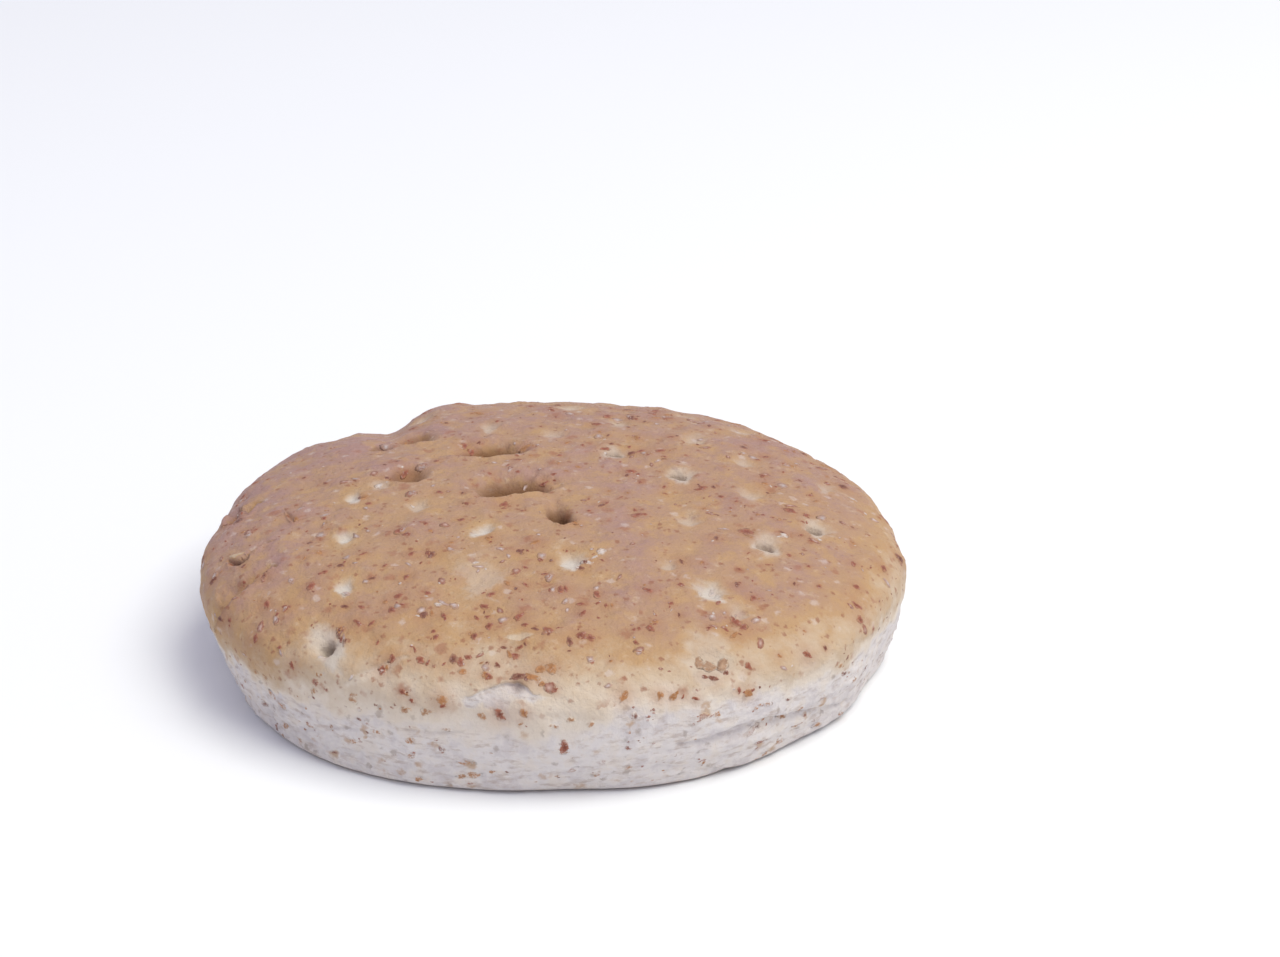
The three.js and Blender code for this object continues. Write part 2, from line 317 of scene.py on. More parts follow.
def blown_up(corner):
    """A corner of the cube, moved out to the ball so that the quads stay even."""
    return Vector(math.tan(value * math.pi / 4) for value in corner).normalized()


def dough_places(ball_points):
    """The ball drawn out over the dome, the wall and the foot, in millimetres."""
    angle = np.arctan2(ball_points[:, 1], ball_points[:, 0])
    below = (1 - ball_points[:, 2]) / 2
    wall_end = DOME_SHARE_OF_BALL + WALL_SHARE_OF_BALL
    on_dome = np.sqrt(np.clip(below / DOME_SHARE_OF_BALL, 0, 1))
    on_wall = np.clip((below - DOME_SHARE_OF_BALL) / WALL_SHARE_OF_BALL, 0, 1)
    on_foot = np.sqrt(np.clip((1 - below) / (1 - wall_end), 0, 1))
    dome_radius, dome_z = along_section(dome_section, on_dome)
    wall_radius, wall_z = along_section(wall_section, on_wall)
    foot_radius = HALF_WIDTH * FOOT_SHARE * on_foot
    parts = [below <= DOME_SHARE_OF_BALL, below <= wall_end]
    radius = np.select(parts, [dome_radius, wall_radius], foot_radius)
    height = np.select(parts, [dome_z, wall_z], 0)
    return place_on_form(radius / HALF_WIDTH, angle, height)


ball = bmesh.new()
bmesh.ops.create_cube(ball, size=2)
bmesh.ops.subdivide_edges(ball, edges=ball.edges, cuts=BALL_DIVISIONS - 1, use_grid_fill=True)
for corner in ball.verts:
    corner.co = blown_up(corner.co)
ball.verts.index_update()
print("quads on the ball:", len(ball.faces))

# %% Find a place on the dough from where it shows in the picture
rough_dough = dough_places(np.array([corner.co for corner in ball.verts]))
dough_tree = BVHTree.FromPolygons(
    [Vector(place) for place in rough_dough], [[c.index for c in face.verts] for face in ball.faces]
)
bread_low, bread_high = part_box("bread")
box_middle = np.array((bread_low + bread_high) / 2) / MM
dough_middle = (rough_dough.min(axis=0) + rough_dough.max(axis=0)) / 2
shift = np.array([*(box_middle - dough_middle)[:2], bread_low.z / MM])


def sight_line(column, row):
    """A pixel's line of sight: where it starts and where it goes, on the dough's own axes."""
    pixel = SENSOR_WIDTH / PICTURE_WIDTH
    across = (column - PICTURE_WIDTH / 2) * pixel
    up = (PICTURE_HEIGHT / 2 - row) * pixel
    turned = camera.rotation_euler.to_matrix() @ Vector((across, up, -LENS))
    return camera.location / MM - Vector(shift), turned.normalized()


def seen_on(tree, pixel):
    """The place on a surface that shows at a pixel. One that just misses slides onto the edge."""
    start, direction = sight_line(*pixel)
    place = tree.ray_cast(start, direction)[0]
    passing = start - direction * start.dot(direction)
    return place or tree.find_nearest(passing)[0]


print("the dough stands", shift.round(2), "mm from its own axes")

# %% [markdown]
# ## Creases and tears
# As the dough rose, its skin folded at the left edge, peeled in one place and tore open at the
# front. Each is a line drawn over the picture and cast onto the dough. A sculptor would drag a brush
# along it. Here the line's two sides have their own reach, so that one edge stays crisp.

# %% The lines of the creases, as pixels of the picture, with reach and depth in millimetres
# Near is the reach below the line in the picture and far the reach above it. A lip stands up below
# the line. Raw is a share of colour in the crease, and the golden share is darker golden crust, partly
# painted shade. Shade is painted shade over the whole crease, and the dark share is painted shade on
# the line itself, within a width. Sharp asks for smaller faces.
CREASES = {
    "tuck": {
        "line": [(224, 521), (233, 519), (243, 514), (256, 506)],
        "near": 0.8, "far": 2.6, "sink": 1.9, "lip": 0.4, "golden_and_shade": 0.4, "raw": 0.3,
    },
    "slit": {
        "line": [(229, 561), (234, 564), (240, 564), (246, 561), (250, 556)],
        "near": 0.5, "far": 0.5, "sink": 1.0, "lip": 0.2, "painted_shade": 1.0, "width": 0.75, "sharp": True,
    },
    "slit_lip": {
        "line": [(230, 557), (237, 558), (245, 555)],
        "near": 0.6, "far": 0.8, "sink": -0.2, "raw": 0.6,
    },
    "gutter": {
        "line": [(249, 556), (255, 552), (262, 548), (274, 543)],
        "near": 0.35, "far": 1.0, "sink": 1.0, "lip": 0.5,
        "golden_and_shade": 0.5, "painted_shade": 0.4, "raw": 0.3, "sharp": True,
    },
    "ledge": {
        "line": [(271, 569), (252, 584), (240, 594), (229, 604), (220, 617), (217, 628)],
        "near": 0.8, "far": 3.2, "sink": 2.7, "lip": 0.7, "golden_and_shade": 0.2, "raw": 0.38,
    },
    "nick": {
        "line": [(285, 511), (290, 517), (295, 522), (299, 521), (305, 519)],
        "near": 0.25, "far": 0.5, "sink": 0.2, "lip": 0.2, "golden_and_shade": 0.3, "painted_shade": 0.2, "sharp": True,
    },
    "peel": {
        "line": [(346, 684), (362, 673), (380, 665), (404, 656)],
        "near": 2.0, "far": 0.4, "sink": 0.5, "raw": 0.35,
    },
    "tear": {
        "line": [(472, 697), (483, 691), (494, 687), (506, 683), (517, 683), (526, 688), (532, 695)],
        "near": 5.2, "far": 0.25, "sink": 0.5,
        "raw": 1.0, "painted_shade": 0.3, "width": 0.3, "shade": 0.1, "sharp": True,
    },
    "tear_crack": {
        "line": [(508, 684), (515, 684), (522, 687), (528, 692)],
        "near": 1.2, "far": 0.3, "sink": 0.25, "painted_shade": 0.45, "width": 1.9, "sharp": True,
    },
    "split": {
        "line": [(511, 638), (520, 639), (530, 637)],
        "near": 0.4, "far": 2.2, "sink": 0.35, "lip": 0.15, "raw": 0.45,
    },
    "left_edge": {
        "line": [(318, 722), (343, 728), (364, 731)],
        "near": 0.6, "far": 0.4, "sink": 0.35,
    },
    "front_edge": {
        "line": [(396, 727), (425, 732), (460, 733)],
        "near": 0.7, "far": 0.4, "sink": 0.4,
    },
    "wall_fold": {
        "line": [(846, 700), (809, 713), (772, 720), (742, 728), (715, 738), (680, 744)],
        "near": 1.6, "far": 0.5, "sink": 1.3, "painted_shade": 0.12, "width": 0.6,
    },
    "low_fold": {
        "line": [(820, 738), (770, 757), (720, 768), (665, 765)],
        "near": 1.1, "far": 0.6, "sink": 0.5,
    },
}
picture_up = np.array(camera.rotation_euler.to_matrix() @ Vector((0, 1, 0)))
for crease in CREASES.values():
    crease["path"] = np.array([seen_on(dough_tree, pixel) for pixel in crease["line"]])


def nearest_on(path, places):
    """For each place: the distance to a path, the offset from it, and the share of the path walked."""
    nearest = np.full(len(places), np.inf)
    offset = np.zeros_like(places)
    walked = np.zeros(len(places))
    for index, (start, end) in enumerate(zip(path[:-1], path[1:])):
        step = end - start
        share = np.clip((places - start) @ step / (step @ step), 0, 1)
        away = places - start - share[:, None] * step
        distance = np.linalg.norm(away, axis=1)
        closer = distance < nearest
        nearest[closer] = distance[closer]
        offset[closer] = away[closer]
        walked[closer] = (index + share[closer]) / (len(path) - 1)
    return nearest, offset, walked


for name, crease in CREASES.items():
    length = np.linalg.norm(np.diff(crease["path"], axis=0), axis=1).sum()
    print(name, "is", length.round(1), "mm long")

# %% Divide the quads once more at dents and creases
DENT_FINENESS = 0.8
DENT_CORE = 0.7
CREASE_FINENESS = 1.0


def face_centres():
    """The middles of the ball's faces, drawn out over the dough."""
    return dough_places(np.array([face.calc_center_median().normalized() for face in ball.faces]))


def divide(chosen):
    """Halve the edges of the chosen faces, and move the new corners out to the ball."""
    ball.faces.ensure_lookup_table()
    edges = {edge for index in np.flatnonzero(chosen) for edge in ball.faces[index].edges}
    bmesh.ops.subdivide_edges(ball, edges=list(edges), cuts=1, use_grid_fill=True)
    for corner in ball.verts:
        corner.co.normalize()
    print("faces divided:", int(chosen.sum()), " faces now:", len(ball.faces))


centres = face_centres()
marked = np.zeros(len(centres), bool)
for mark in marks:
    reach = DENT_FINENESS + mark.get("mouth", DENT_CORE * mark["across"])
    marked |= np.linalg.norm(centres - mark["place"], axis=1) < reach
for crease in CREASES.values():
    marked |= nearest_on(crease["path"], centres)[0] < CREASE_FINENESS
divide(marked)

# %% Divide the quads at the sharp cracks a second time
SHARP_FINENESS = 0.8

centres = face_centres()
sharp = np.zeros(len(centres), bool)
for crease in CREASES.values():
    if crease.get("sharp"):
        sharp |= nearest_on(crease["path"], centres)[0] < SHARP_FINENESS
divide(sharp)
crust_mesh = bpy.data.meshes.new("crust")
ball.to_mesh(crust_mesh)
ball.free()
print("as triangles:", sum(len(polygon.vertices) - 2 for polygon in crust_mesh.polygons))

# %% Draw the ball out over the dough


def normals_of(mesh):
    flat = np.empty(3 * len(mesh.vertices), np.float32)
    mesh.vertex_normals.foreach_get("vector", flat)
    return flat.reshape(-1, 3).astype(float)


def set_corners(mesh, places):
    mesh.vertices.foreach_set("co", places.astype(np.float32).ravel())
    mesh.update()


plain = dough_places(np.array([vertex.co for vertex in crust_mesh.vertices]))
set_corners(crust_mesh, plain)
plain_normals = normals_of(crust_mesh)
radius_share = np.hypot(plain[:, 0] / HALF_WIDTH, plain[:, 1] / HALF_DEPTH)
bearing = np.arctan2(plain[:, 1], plain[:, 0])
print("plain form, mm:", np.ptp(plain, axis=0).round(1))

# %% [markdown]
# ## Relief
# A real crust is uneven at every scale: broad swells where the dough rose, the dents of the pins,
# and fine wrinkles where the skin dried. A Displace modifier with a texture would give the wrinkles
# alone. Here every height is summed in numbers and the corners are moved once along their normals,
# so that the dents can also tell the colours later where they are.

# %% Unevenness that frays the edges
SEED_STEPS = (1.0, 2.3, -1.7)
FALL_OFF = 1.0
FINER_BY = 2.0


def fractal(places, size, octaves, seed):
    """Blender's own noise, about -1 to 1. Size is the width of its largest bumps, in millimetres."""
    away = Vector([step * seed for step in SEED_STEPS])
    spots = (Vector(place) / size + away for place in places)
    return np.array([noise.fractal(spot, FALL_OFF, FINER_BY, octaves) for spot in spots])


ragged = fractal(plain, size=4.0, octaves=4, seed=5.0)
frayed = fractal(plain, size=1.5, octaves=3, seed=6.0)


def fray(coarse=0.0, fine=0.0):
    """A factor about 1 that frays an edge, by shares of the coarse and the fine unevenness."""
    return 1 + coarse * ragged + fine * frayed


print("frayed by", frayed.min().round(2), "to", frayed.max().round(2))

# %% Swells
SWELLS = [
    {"x": -9, "y": 44, "across": 13, "along": 13, "rise": 0.5},
    {"x": -19.3, "y": 45, "across": 4.2, "along": 13, "rise": 0.85},
    {"x": -28.6, "y": 40, "across": 3.8, "along": 13, "rise": -2.0},
    {"x": -40, "y": 28, "across": 8, "along": 8, "rise": 0.6},
    {"x": -44, "y": 14, "across": 12, "along": 12, "rise": 0.4},
    {"x": -40, "y": -22, "across": 13, "along": 13, "rise": 0.5},
    {"x": 28, "y": 26, "across": 17, "along": 17, "rise": 0.9},
    {"x": 14, "y": 6, "across": 14, "along": 14, "rise": -0.6},
]
RELIEF_STARTS = 6.0

swelling = np.zeros(len(plain))
for swell in SWELLS:
    across = (plain[:, 0] - swell["x"]) / swell["across"]
    along = (plain[:, 1] - swell["y"]) / swell["along"]
    swelling += swell["rise"] * soft_bump(np.hypot(across, along), 1)
upper = smooth_step(plain[:, 2], RELIEF_STARTS, WAIST_HEIGHT)
print("highest swell, mm:", swelling.max().round(2))

# %% Dents
WEDGE_LIMITS = (-0.5, 1)
LIP = {"share": 0.10, "at": 1.45, "spread": 0.35}
NEAR_CRISPNESS = 4.0
FAR_CRISPNESS = 3.2


def mark_offset(mark):
    """The corners as seen from a mark, turned so that the mark lies straight."""
    offset = plain - mark["place"]
    cos, sin = math.cos(mark["turn"]), math.sin(mark["turn"])
    across = cos * offset[:, 0] + sin * offset[:, 1]
    along = cos * offset[:, 1] - sin * offset[:, 0]
    return across, along, offset[:, 2]


def bowl_steps(mark):
    """How far out of a mark's bowl each corner is: 0 in the middle and about 1 at its frayed edge."""
    across, along, up = mark_offset(mark)
    reach = np.where(along < 0, mark["near"], mark["far"])
    widening = mark["wedge"] * np.clip(along / mark["far"], *WEDGE_LIMITS)
    width = mark["across"] * (1 + widening)
    steps = np.sqrt((across / width) ** 2 + (along**2 + up**2) / reach**2)
    return steps * fray(coarse=0.25, fine=0.1)


def bowl_depth(mark):
    """A bowl with a flat floor, a raised lip on the viewer's side and a long slope on the other."""
    steps = bowl_steps(mark)
    nearer = smooth_step(-mark_offset(mark)[1], 0, mark["near"])
    crispness = FAR_CRISPNESS + (NEAR_CRISPNESS - FAR_CRISPNESS) * nearer
    lip = LIP["share"] * nearer * soft_bump(steps - LIP["at"], LIP["spread"])
    return mark["sink"] * (np.exp(-(steps**crispness)) - lip)


sinking = sum(bowl_depth(mark) for mark in marks)
print("deepest dent, mm:", sinking.max().round(2))

# %% Bores
BORE_WALL = (0.3, 1.15)
BORE_STRETCH = 1.05


def bore_share(mark):
    """1 inside a bore, 0 outside its mouth."""
    across, along, up = mark_offset(mark)
    away = np.hypot(across, np.hypot(along, up) / BORE_STRETCH) / mark["mouth"]
    return 1 - smooth_step(away * fray(fine=0.3), *BORE_WALL)


bored = sum(mark["depth"] * bore_share(mark) for mark in marks if "mouth" in mark)
print("deepest bore, mm:", bored.max().round(2))

# %% Creases
CREASE_END = 0.05
SIDE_BLEND = 0.15
CREASE_LIP = {"at": 2.0, "spread": 0.7}


def crease_sides(crease):
    """How far out of a crease each corner is, by its reach, how much it lies below, and the taper."""
    distance, offset, walked = nearest_on(crease["path"], plain)
    below = smooth_step(-(offset @ picture_up), -SIDE_BLEND, SIDE_BLEND)
    taper = np.sqrt(np.sin(math.pi * np.clip(walked, CREASE_END, 1 - CREASE_END)))
    reach = crease["far"] + (crease["near"] - crease["far"]) * below
    return distance / (reach * taper * fray(coarse=0.3)), below, taper


creasing = np.zeros(len(plain))
for crease in CREASES.values():
    steps, below, taper = crease_sides(crease)
    lip = crease.get("lip", 0) * below * soft_bump(steps - CREASE_LIP["at"], CREASE_LIP["spread"])
    creasing += taper * (crease["sink"] * soft_bump(steps, 1) - lip)
print("deepest crease, mm:", creasing.max().round(2))

# %% Wrinkles
ROLL_HEIGHT = 0.42
LUMP_HEIGHT = 0.27
CREPE_HEIGHT = 0.09
CRUMB_HEIGHT = 0.3
CRUMB_FLATNESS = 2.0
CLEAR_OF_FLOOR = 2.0

rolls = fractal(plain, size=11.0, octaves=3, seed=1.0)
lumps = fractal(plain, size=4.4, octaves=3, seed=2.0)
crepe = fractal(plain, size=1.6, octaves=2, seed=2.5)
crumb = fractal(plain * (1, 1, CRUMB_FLATNESS), size=2.2, octaves=4, seed=3.0)
off_floor = smooth_step(plain[:, 2], 0.0, CLEAR_OF_FLOOR)
wrinkling = ROLL_HEIGHT * rolls + upper * (LUMP_HEIGHT * lumps + CREPE_HEIGHT * crepe)
wrinkling = off_floor * (wrinkling + CRUMB_HEIGHT * (1 - upper) * crumb)
print("wrinkles, mm:", wrinkling.min().round(2), "to", wrinkling.max().round(2))

# %% Move the corners
FOOT_ROLL = {"height": 0.7, "spread": 1.7, "out": 0.9, "starts": 0.8}

standing_out = upper * (swelling - sinking - bored) - creasing + wrinkling
skin = plain + plain_normals * standing_out[:, None]
rolled_out = FOOT_ROLL["out"] * soft_bump(plain[:, 2] - FOOT_ROLL["height"], FOOT_ROLL["spread"])
rolled_out *= smooth_step(radius_share, FOOT_ROLL["starts"], FOOT_SHARE)
skin[:, :2] *= 1 + (rolled_out / HALF_WIDTH)[:, None]
print("moved by, mm:", standing_out.min().round(2), "to", standing_out.max().round(2))

# %% Dent the sole a little, and stand the skin where the solid is
SOLE_EDGE = 0.14
SOLE_FRAY = 0.05
SOLE_DENT = 0.4
SOLE_ROLLS = 0.3

from_edge = 1 - radius_share / (FOOT_SHARE * outline_share(bearing))
in_sole = smooth_step(from_edge + SOLE_FRAY * ragged, 0.0, SOLE_EDGE)
on_sole = in_sole * (plain[:, 2] == 0)
skin[:, 2] = np.maximum(skin[:, 2], SOLE_DENT * on_sole * np.clip(lumps + SOLE_ROLLS * rolls, 0, 1))
set_corners(crust_mesh, (skin + shift) * MM)
crust_mesh.shade_smooth()
crust = add_object("crust", crust_mesh)
print("skin, mm:", np.ptp(skin, axis=0).round(1))

# %% [markdown]
# ## How brown each place is
# The oven browns what stands up into its heat. The top is tan, its edge fades to cream, the wall
# stays pale, and the tray browns the sole. The pins kept their dents pale, and the deep scoops are
# golden brown, darkened further as painted shade. Holes, cracks and shaded creases get painted shade
# too. These shares are stored on the corners as attributes, which a material can read,
# instead of as a painted image.

# %% How far up from the foot each place is
DOME_STEPS = 400

dome_shares = np.linspace(0, 1, DOME_STEPS)
dome_radii, dome_heights = along_section(dome_section, dome_shares)
dome_length = np.hypot(np.diff(dome_radii), np.diff(dome_heights)).sum()
dome_share = np.interp(radius_share / outline_share(bearing) * HALF_WIDTH, dome_radii, dome_shares)
above_waist = plain[:, 2] > WAIST_HEIGHT
climb = np.where(above_waist, WAIST_HEIGHT + (1 - dome_share) * dome_length, plain[:, 2])
print("climb to the middle, mm:", climb.max().round(1))

# %% Work out the browning
# For bearings in degrees: the climb where cream starts, the share of the browning that comes in the
# first step above that, and the climb where the browning is full.
BAKE_BEARINGS = [-180, -150, -130, -115, -100, -90, -83, -76, -60, -50, -20, 40, 110, 180]
CREAM_STARTS = [7.0, 7.8, 8.6, 8.2, 8.0, 8.4, 11.0, 12.8, 12.2, 10.5, 9.0, 7.4, 8.0, 7.0]
CREAM_SHARES = [0.44, 0.40, 0.24, 0.06, 0.05, 0.09, 0.12, 0.12, 0.14, 0.18, 0.25, 0.22, 0.26, 0.44]
BAKE_ENDS = [16.5, 18.5, 26.5, 32.0, 35.0, 35.5, 33.5, 30.0, 28.5, 28.0, 26.0, 24.0, 22.0, 16.5]
CREAM_STEP = 5.0
BAKE_POWER = 1.15
TOAST = 0.72
FAR_SIDE = (-22, 35)
LEFT_SIDE = (22, 50)
RIGHT_SIDE = (-12, 25)
SOLE_HEIGHTS = (0.1, 0.45)
SOLE_HEAT = 0.34


def by_bearing(values):
    """Values that are listed for the bearings, at every corner."""
    return np.interp(np.degrees(bearing), BAKE_BEARINGS, values)


def add_up(base, shares):
    """A base with shares of fields added to it."""
    return sum((share * field for share, field in shares), base)


blotches = fractal(plain, size=16.0, octaves=3, seed=4.0)
start, end, first_step = (by_bearing(values) for values in (CREAM_STARTS, BAKE_ENDS, CREAM_SHARES))
above_start = add_up(climb, [(1.6, ragged), (0.8, frayed), (0.8, lumps)]) - start
rising = np.clip(above_start / (end - start), 0, 1) ** BAKE_POWER
heat = first_step * smooth_step(above_start, 0, CREAM_STEP) + (1 - first_step) * rising
far_side = smooth_step(plain[:, 1], *FAR_SIDE)
left_side = smooth_step(-plain[:, 0], *LEFT_SIDE)
front_right_bake_and_shade = smooth_step(plain[:, 0], *RIGHT_SIDE) * (1 - far_side)
# The front right browns more, partly as painted shade.
toasting = [
    (0.10, front_right_bake_and_shade), (0.07, blotches), (0.16, far_side),
    (0.15, left_side), (0.12, rolls), (0.07, lumps),
]
toast = add_up(TOAST, toasting)
sole = 1 - smooth_step(plain[:, 2], *SOLE_HEIGHTS)
sole_heat = add_up(SOLE_HEAT, [(0.28, in_sole), (0.14, blotches), (-0.12, lumps)])
baked = np.maximum(heat * toast, sole * sole_heat)
print("baked, from", baked.min().round(2), "to", baked.max().round(2))

# %% The pale core of a dent, and the halo round it
CORE_STRETCH = 1.4
CORE_NEAR_EDGE = (0.7, 1.15)
CORE_FAR_EDGE = (0.2, 1.6)
CORE_BLEND = 0.6
HALO_ACROSS = 2.5
HALO_ALONG = 3.2
HALO_BEHIND = 1.0
HALO_LEAST = 0.5
HALO_GROWTH = 0.4
HALO_SHARE = 0.55


def core_share(mark):
    """1 in a mark's pale core. Its edge is crisp on the viewer's side and fades out on the other."""
    across, along, up = mark_offset(mark)
    steps = np.hypot(across, np.hypot(along, up) / CORE_STRETCH) / mark["across"]
    steps *= fray(coarse=0.4, fine=0.35)
    nearer = smooth_step(-along, -CORE_BLEND, CORE_BLEND)
    beyond_near, beyond_far = smooth_step(steps, *CORE_NEAR_EDGE), smooth_step(steps, *CORE_FAR_EDGE)
    return 1 - beyond_far - (beyond_near - beyond_far) * nearer


def halo_share(mark):
    """How much a mark kept the crust round it from browning, most of all behind it."""
    across, along, up = mark_offset(mark)
    size = HALO_LEAST + HALO_GROWTH * mark["across"]
    away = np.hypot(across / HALO_ACROSS, np.hypot(along - HALO_BEHIND, up) / HALO_ALONG) / size
    return soft_bump(away * fray(coarse=0.4), 1)


for mark in marks:
    baked *= 1 - HALO_SHARE * mark["pale"] * halo_share(mark)
print("baked, mean:", baked.mean().round(3))

# %% Golden scoops with painted shade, pale dents, holes and cracks darkened as painted shade, and raw tears
BOWL_EDGE = (0.75, 1.2)
SHADE_REACH = 1.5
# How much painted shade darkens the inside of a bore.
BORE_PAINTED_SHADE = 0.4
CREASE_EDGE = 1.2
CREASE_FADE = 0.8
CREASE_FRAY = 0.4
LINE_CORE = 0.1
LINE_WIDTH = 0.4
fields = {name: np.zeros(len(plain)) for name in ("pale", "painted_shade", "golden_and_shade", "raw")}


def lift(name, values):
    """Raise a field wherever the values are higher."""
    np.maximum(fields[name], values, out=fields[name])


for mark in marks:
    # The golden share turns a bowl golden brown, its colour darkened partly as painted shade.
    in_bowl = 1 - smooth_step(bowl_steps(mark), *BOWL_EDGE)
    # Painted shade in the part of a bowl next to its near lip.
    shaded = smooth_step(-mark_offset(mark)[1], -SHADE_REACH * mark["far"], 0)
    lift("pale", mark["pale"] * core_share(mark))
    lift("golden_and_shade", mark["golden_and_shade"] * in_bowl)
    lift("painted_shade", mark["painted_shade"] * in_bowl * shaded)
    if "mouth" in mark:
        lift("painted_shade", BORE_PAINTED_SHADE * bore_share(mark))
for crease in CREASES.values():
    steps, _, taper = crease_sides(crease)
    in_crease = smooth_step(CREASE_EDGE - steps + CREASE_FRAY * frayed, 0, CREASE_FADE)
    distance = nearest_on(crease["path"], plain)[0]
    at_line = 1 - smooth_step(distance, LINE_CORE, crease.get("width", LINE_WIDTH))
    lift("raw", crease.get("raw", 0) * in_crease)
    lift("golden_and_shade", crease.get("golden_and_shade", 0) * in_crease)
    # Painted shade on the line of a crack, and over the whole of a crease that lies in shade.
    lift("painted_shade", crease.get("painted_shade", 0) * at_line * taper**3)
    lift("painted_shade", crease.get("shade", 0) * in_crease)
    baked *= 1 - crease.get("raw", 0) * in_crease
fields["baked"] = baked
print("marked corners:", {name: int((values > 0.5).sum()) for name, values in fields.items()})

# %% Store them on the corners


def store(mesh, name, values):
    """Numbers on a mesh's corners that a material can read by their name."""
    attribute = mesh.attributes.new(name, "FLOAT", "POINT")
    attribute.data.foreach_set("value", values.astype(np.float32))


for name in ("baked", "pale", "painted_shade", "golden_and_shade"):
    store(crust_mesh, name, fields[name])
print("attributes:", len(crust_mesh.attributes))

# %% [markdown]
# ## The crust's finish
# Baked crust is a satin skin: tan with paler and darker blotches, tiny brown specks of bran under
# it, and a wrinkled surface. Pale dough is rougher and chalky. One material does both, because they
# run into each other: the browning picks a colour from a ramp, and also sets the roughness.

# %% Helpers for materials


def screen_colour(red, green, blue):
    """A colour as picked on a screen, 0 to 255, in the linear numbers that shaders use."""
    shares = np.array([red, green, blue]) / 255
    linear = np.where(shares <= 0.04045, shares / 12.92, ((shares + 0.055) / 1.055) ** 2.4)
    return (*linear, 1.0)


def add_node(tree, kind, inputs=None, **settings):
    """A new node with its settings, and its inputs either linked or set."""
    made = tree.nodes.new(kind)
    for name, value in settings.items():
        setattr(made, name, value)
    for name, value in (inputs or {}).items():
        if isinstance(value, bpy.types.NodeSocket):
            tree.links.new(value, made.inputs[name])
        else:
            made.inputs[name].default_value = value
    return made


def add_math(tree, operation, first, second=0.0, third=0.0):
    inputs = {0: first, 1: second, 2: third}
    return add_node(tree, "ShaderNodeMath", inputs, operation=operation).outputs[0]


def add_vector_math(tree, operation, first, second, third=(0, 0, 0)):
    inputs = {0: first, 1: second, 2: third}
    return add_node(tree, "ShaderNodeVectorMath", inputs, operation=operation).outputs[0]


def add_mix(tree, share, first, second):
    """Two colours mixed: none of the second at a share of 0, all of it at 1."""
    inputs = {0: share, 6: first, 7: second}
    return add_node(tree, "ShaderNodeMix", inputs, data_type="RGBA").outputs[2]


def add_range(tree, value, low, high, to_low=0.0, to_high=1.0):
    """A value moved smoothly from one range to another."""
    spread = {"Value": value, "From Min": low, "From Max": high, "To Min": to_low, "To Max": to_high}
    return add_node(tree, "ShaderNodeMapRange", spread, interpolation_type="SMOOTHSTEP").outputs[0]


def add_noise(tree, where, size, detail=4.0, rough=0.55):
    """Noise with bumps of a size in millimetres."""
    inputs = {"Vector": where, "Scale": 1 / (size * MM), "Detail": detail, "Roughness": rough}
    return add_node(tree, "ShaderNodeTexNoise", inputs).outputs[0]


def read_attribute(tree, name):
    return add_node(tree, "ShaderNodeAttribute", attribute_name=name).outputs["Fac"]


def new_material(name):
    """A material, its tree of nodes, and its shader."""
    made = bpy.data.materials.new(name)
    made.use_nodes = True
    return made, made.node_tree, made.node_tree.nodes["Principled BSDF"]


print("white on screen is", screen_colour(255, 255, 255))

# %% The colours of baking
BAKE_COLOURS = [
    (0.00, (223, 216, 213)),
    (0.12, (223, 210, 195)),
    (0.32, (202, 181, 157)),
    (0.56, (187, 151, 113)),
    (0.76, (180, 144, 117)),
    (1.00, (169, 134, 126)),
]
UNEVENNESS = [
    {"size": 5.0, "detail": 6.0, "share": 0.55},
    {"size": 0.9, "detail": 3.0, "share": 0.4},
]


def add_baking(tree, where):
    """The colour that the browning picks from the ramp, and the browning with its fine unevenness."""
    uneven = 1.0
    for layer in UNEVENNESS:
        bumps = add_noise(tree, where, layer["size"], layer["detail"])
        centred = add_math(tree, "SUBTRACT", bumps, 0.5)
        uneven = add_math(tree, "MULTIPLY_ADD", centred, layer["share"], uneven)
    browned = add_math(tree, "MULTIPLY", read_attribute(tree, "baked"), uneven)
    ramp = add_node(tree, "ShaderNodeValToRGB", {"Fac": browned})
    stops = ramp.color_ramp.elements
    for index, (share, colour) in enumerate(BAKE_COLOURS):
        stop = stops[index] if index < 2 else stops.new(share)
        stop.position = share
        stop.color = screen_colour(*colour)
    return ramp.outputs[0], browned


print("colours of baking:", len(BAKE_COLOURS))

# %% Golden, mauve and floury patches on the crust, cream and lilac ones and streaks on the wall
PATCH_NOISES = {
    "hue": {"size": 4.4, "detail": 5.0, "rough": 0.62},
    "flour": {"size": 2.4, "detail": 6.0, "rough": 0.7},
    "wall hue": {"size": 3.2, "detail": 4.0, "rough": 0.6},
}
STREAKS = {"size": 2.6, "detail": 6.0, "rough": 0.65}
STREAK_FLATNESS = 3.0
PATCH_PLACES = {
    "crust": (0.15, 0.5),
    "brown": (0.24, 0.6),
    "wall": (0.12, 0.03),
    "well baked": (0.74, 0.98, 0.04, 1.0),
}
PATCHES = [
    {"noise": "hue", "range": (0.48, 0.68), "share": 0.6, "on": "brown", "colour": (192, 154, 108)},
    {"noise": "hue", "range": (0.50, 0.32), "share": 0.75, "on": "well baked", "colour": (178, 142, 133)},
    {"noise": "flour", "range": (0.54, 0.76), "share": 0.6, "on": "crust", "colour": (208, 184, 158)},
    {"noise": "wall hue", "range": (0.49, 0.66), "share": 0.5, "on": "wall", "colour": (223, 210, 196)},
    {"noise": "wall hue", "range": (0.51, 0.36), "share": 0.7, "on": "wall", "colour": (206, 198, 198)},
    {"noise": "streaks", "range": (0.49, 0.7), "share": 0.7, "on": "wall", "colour": (186, 169, 159)},
]


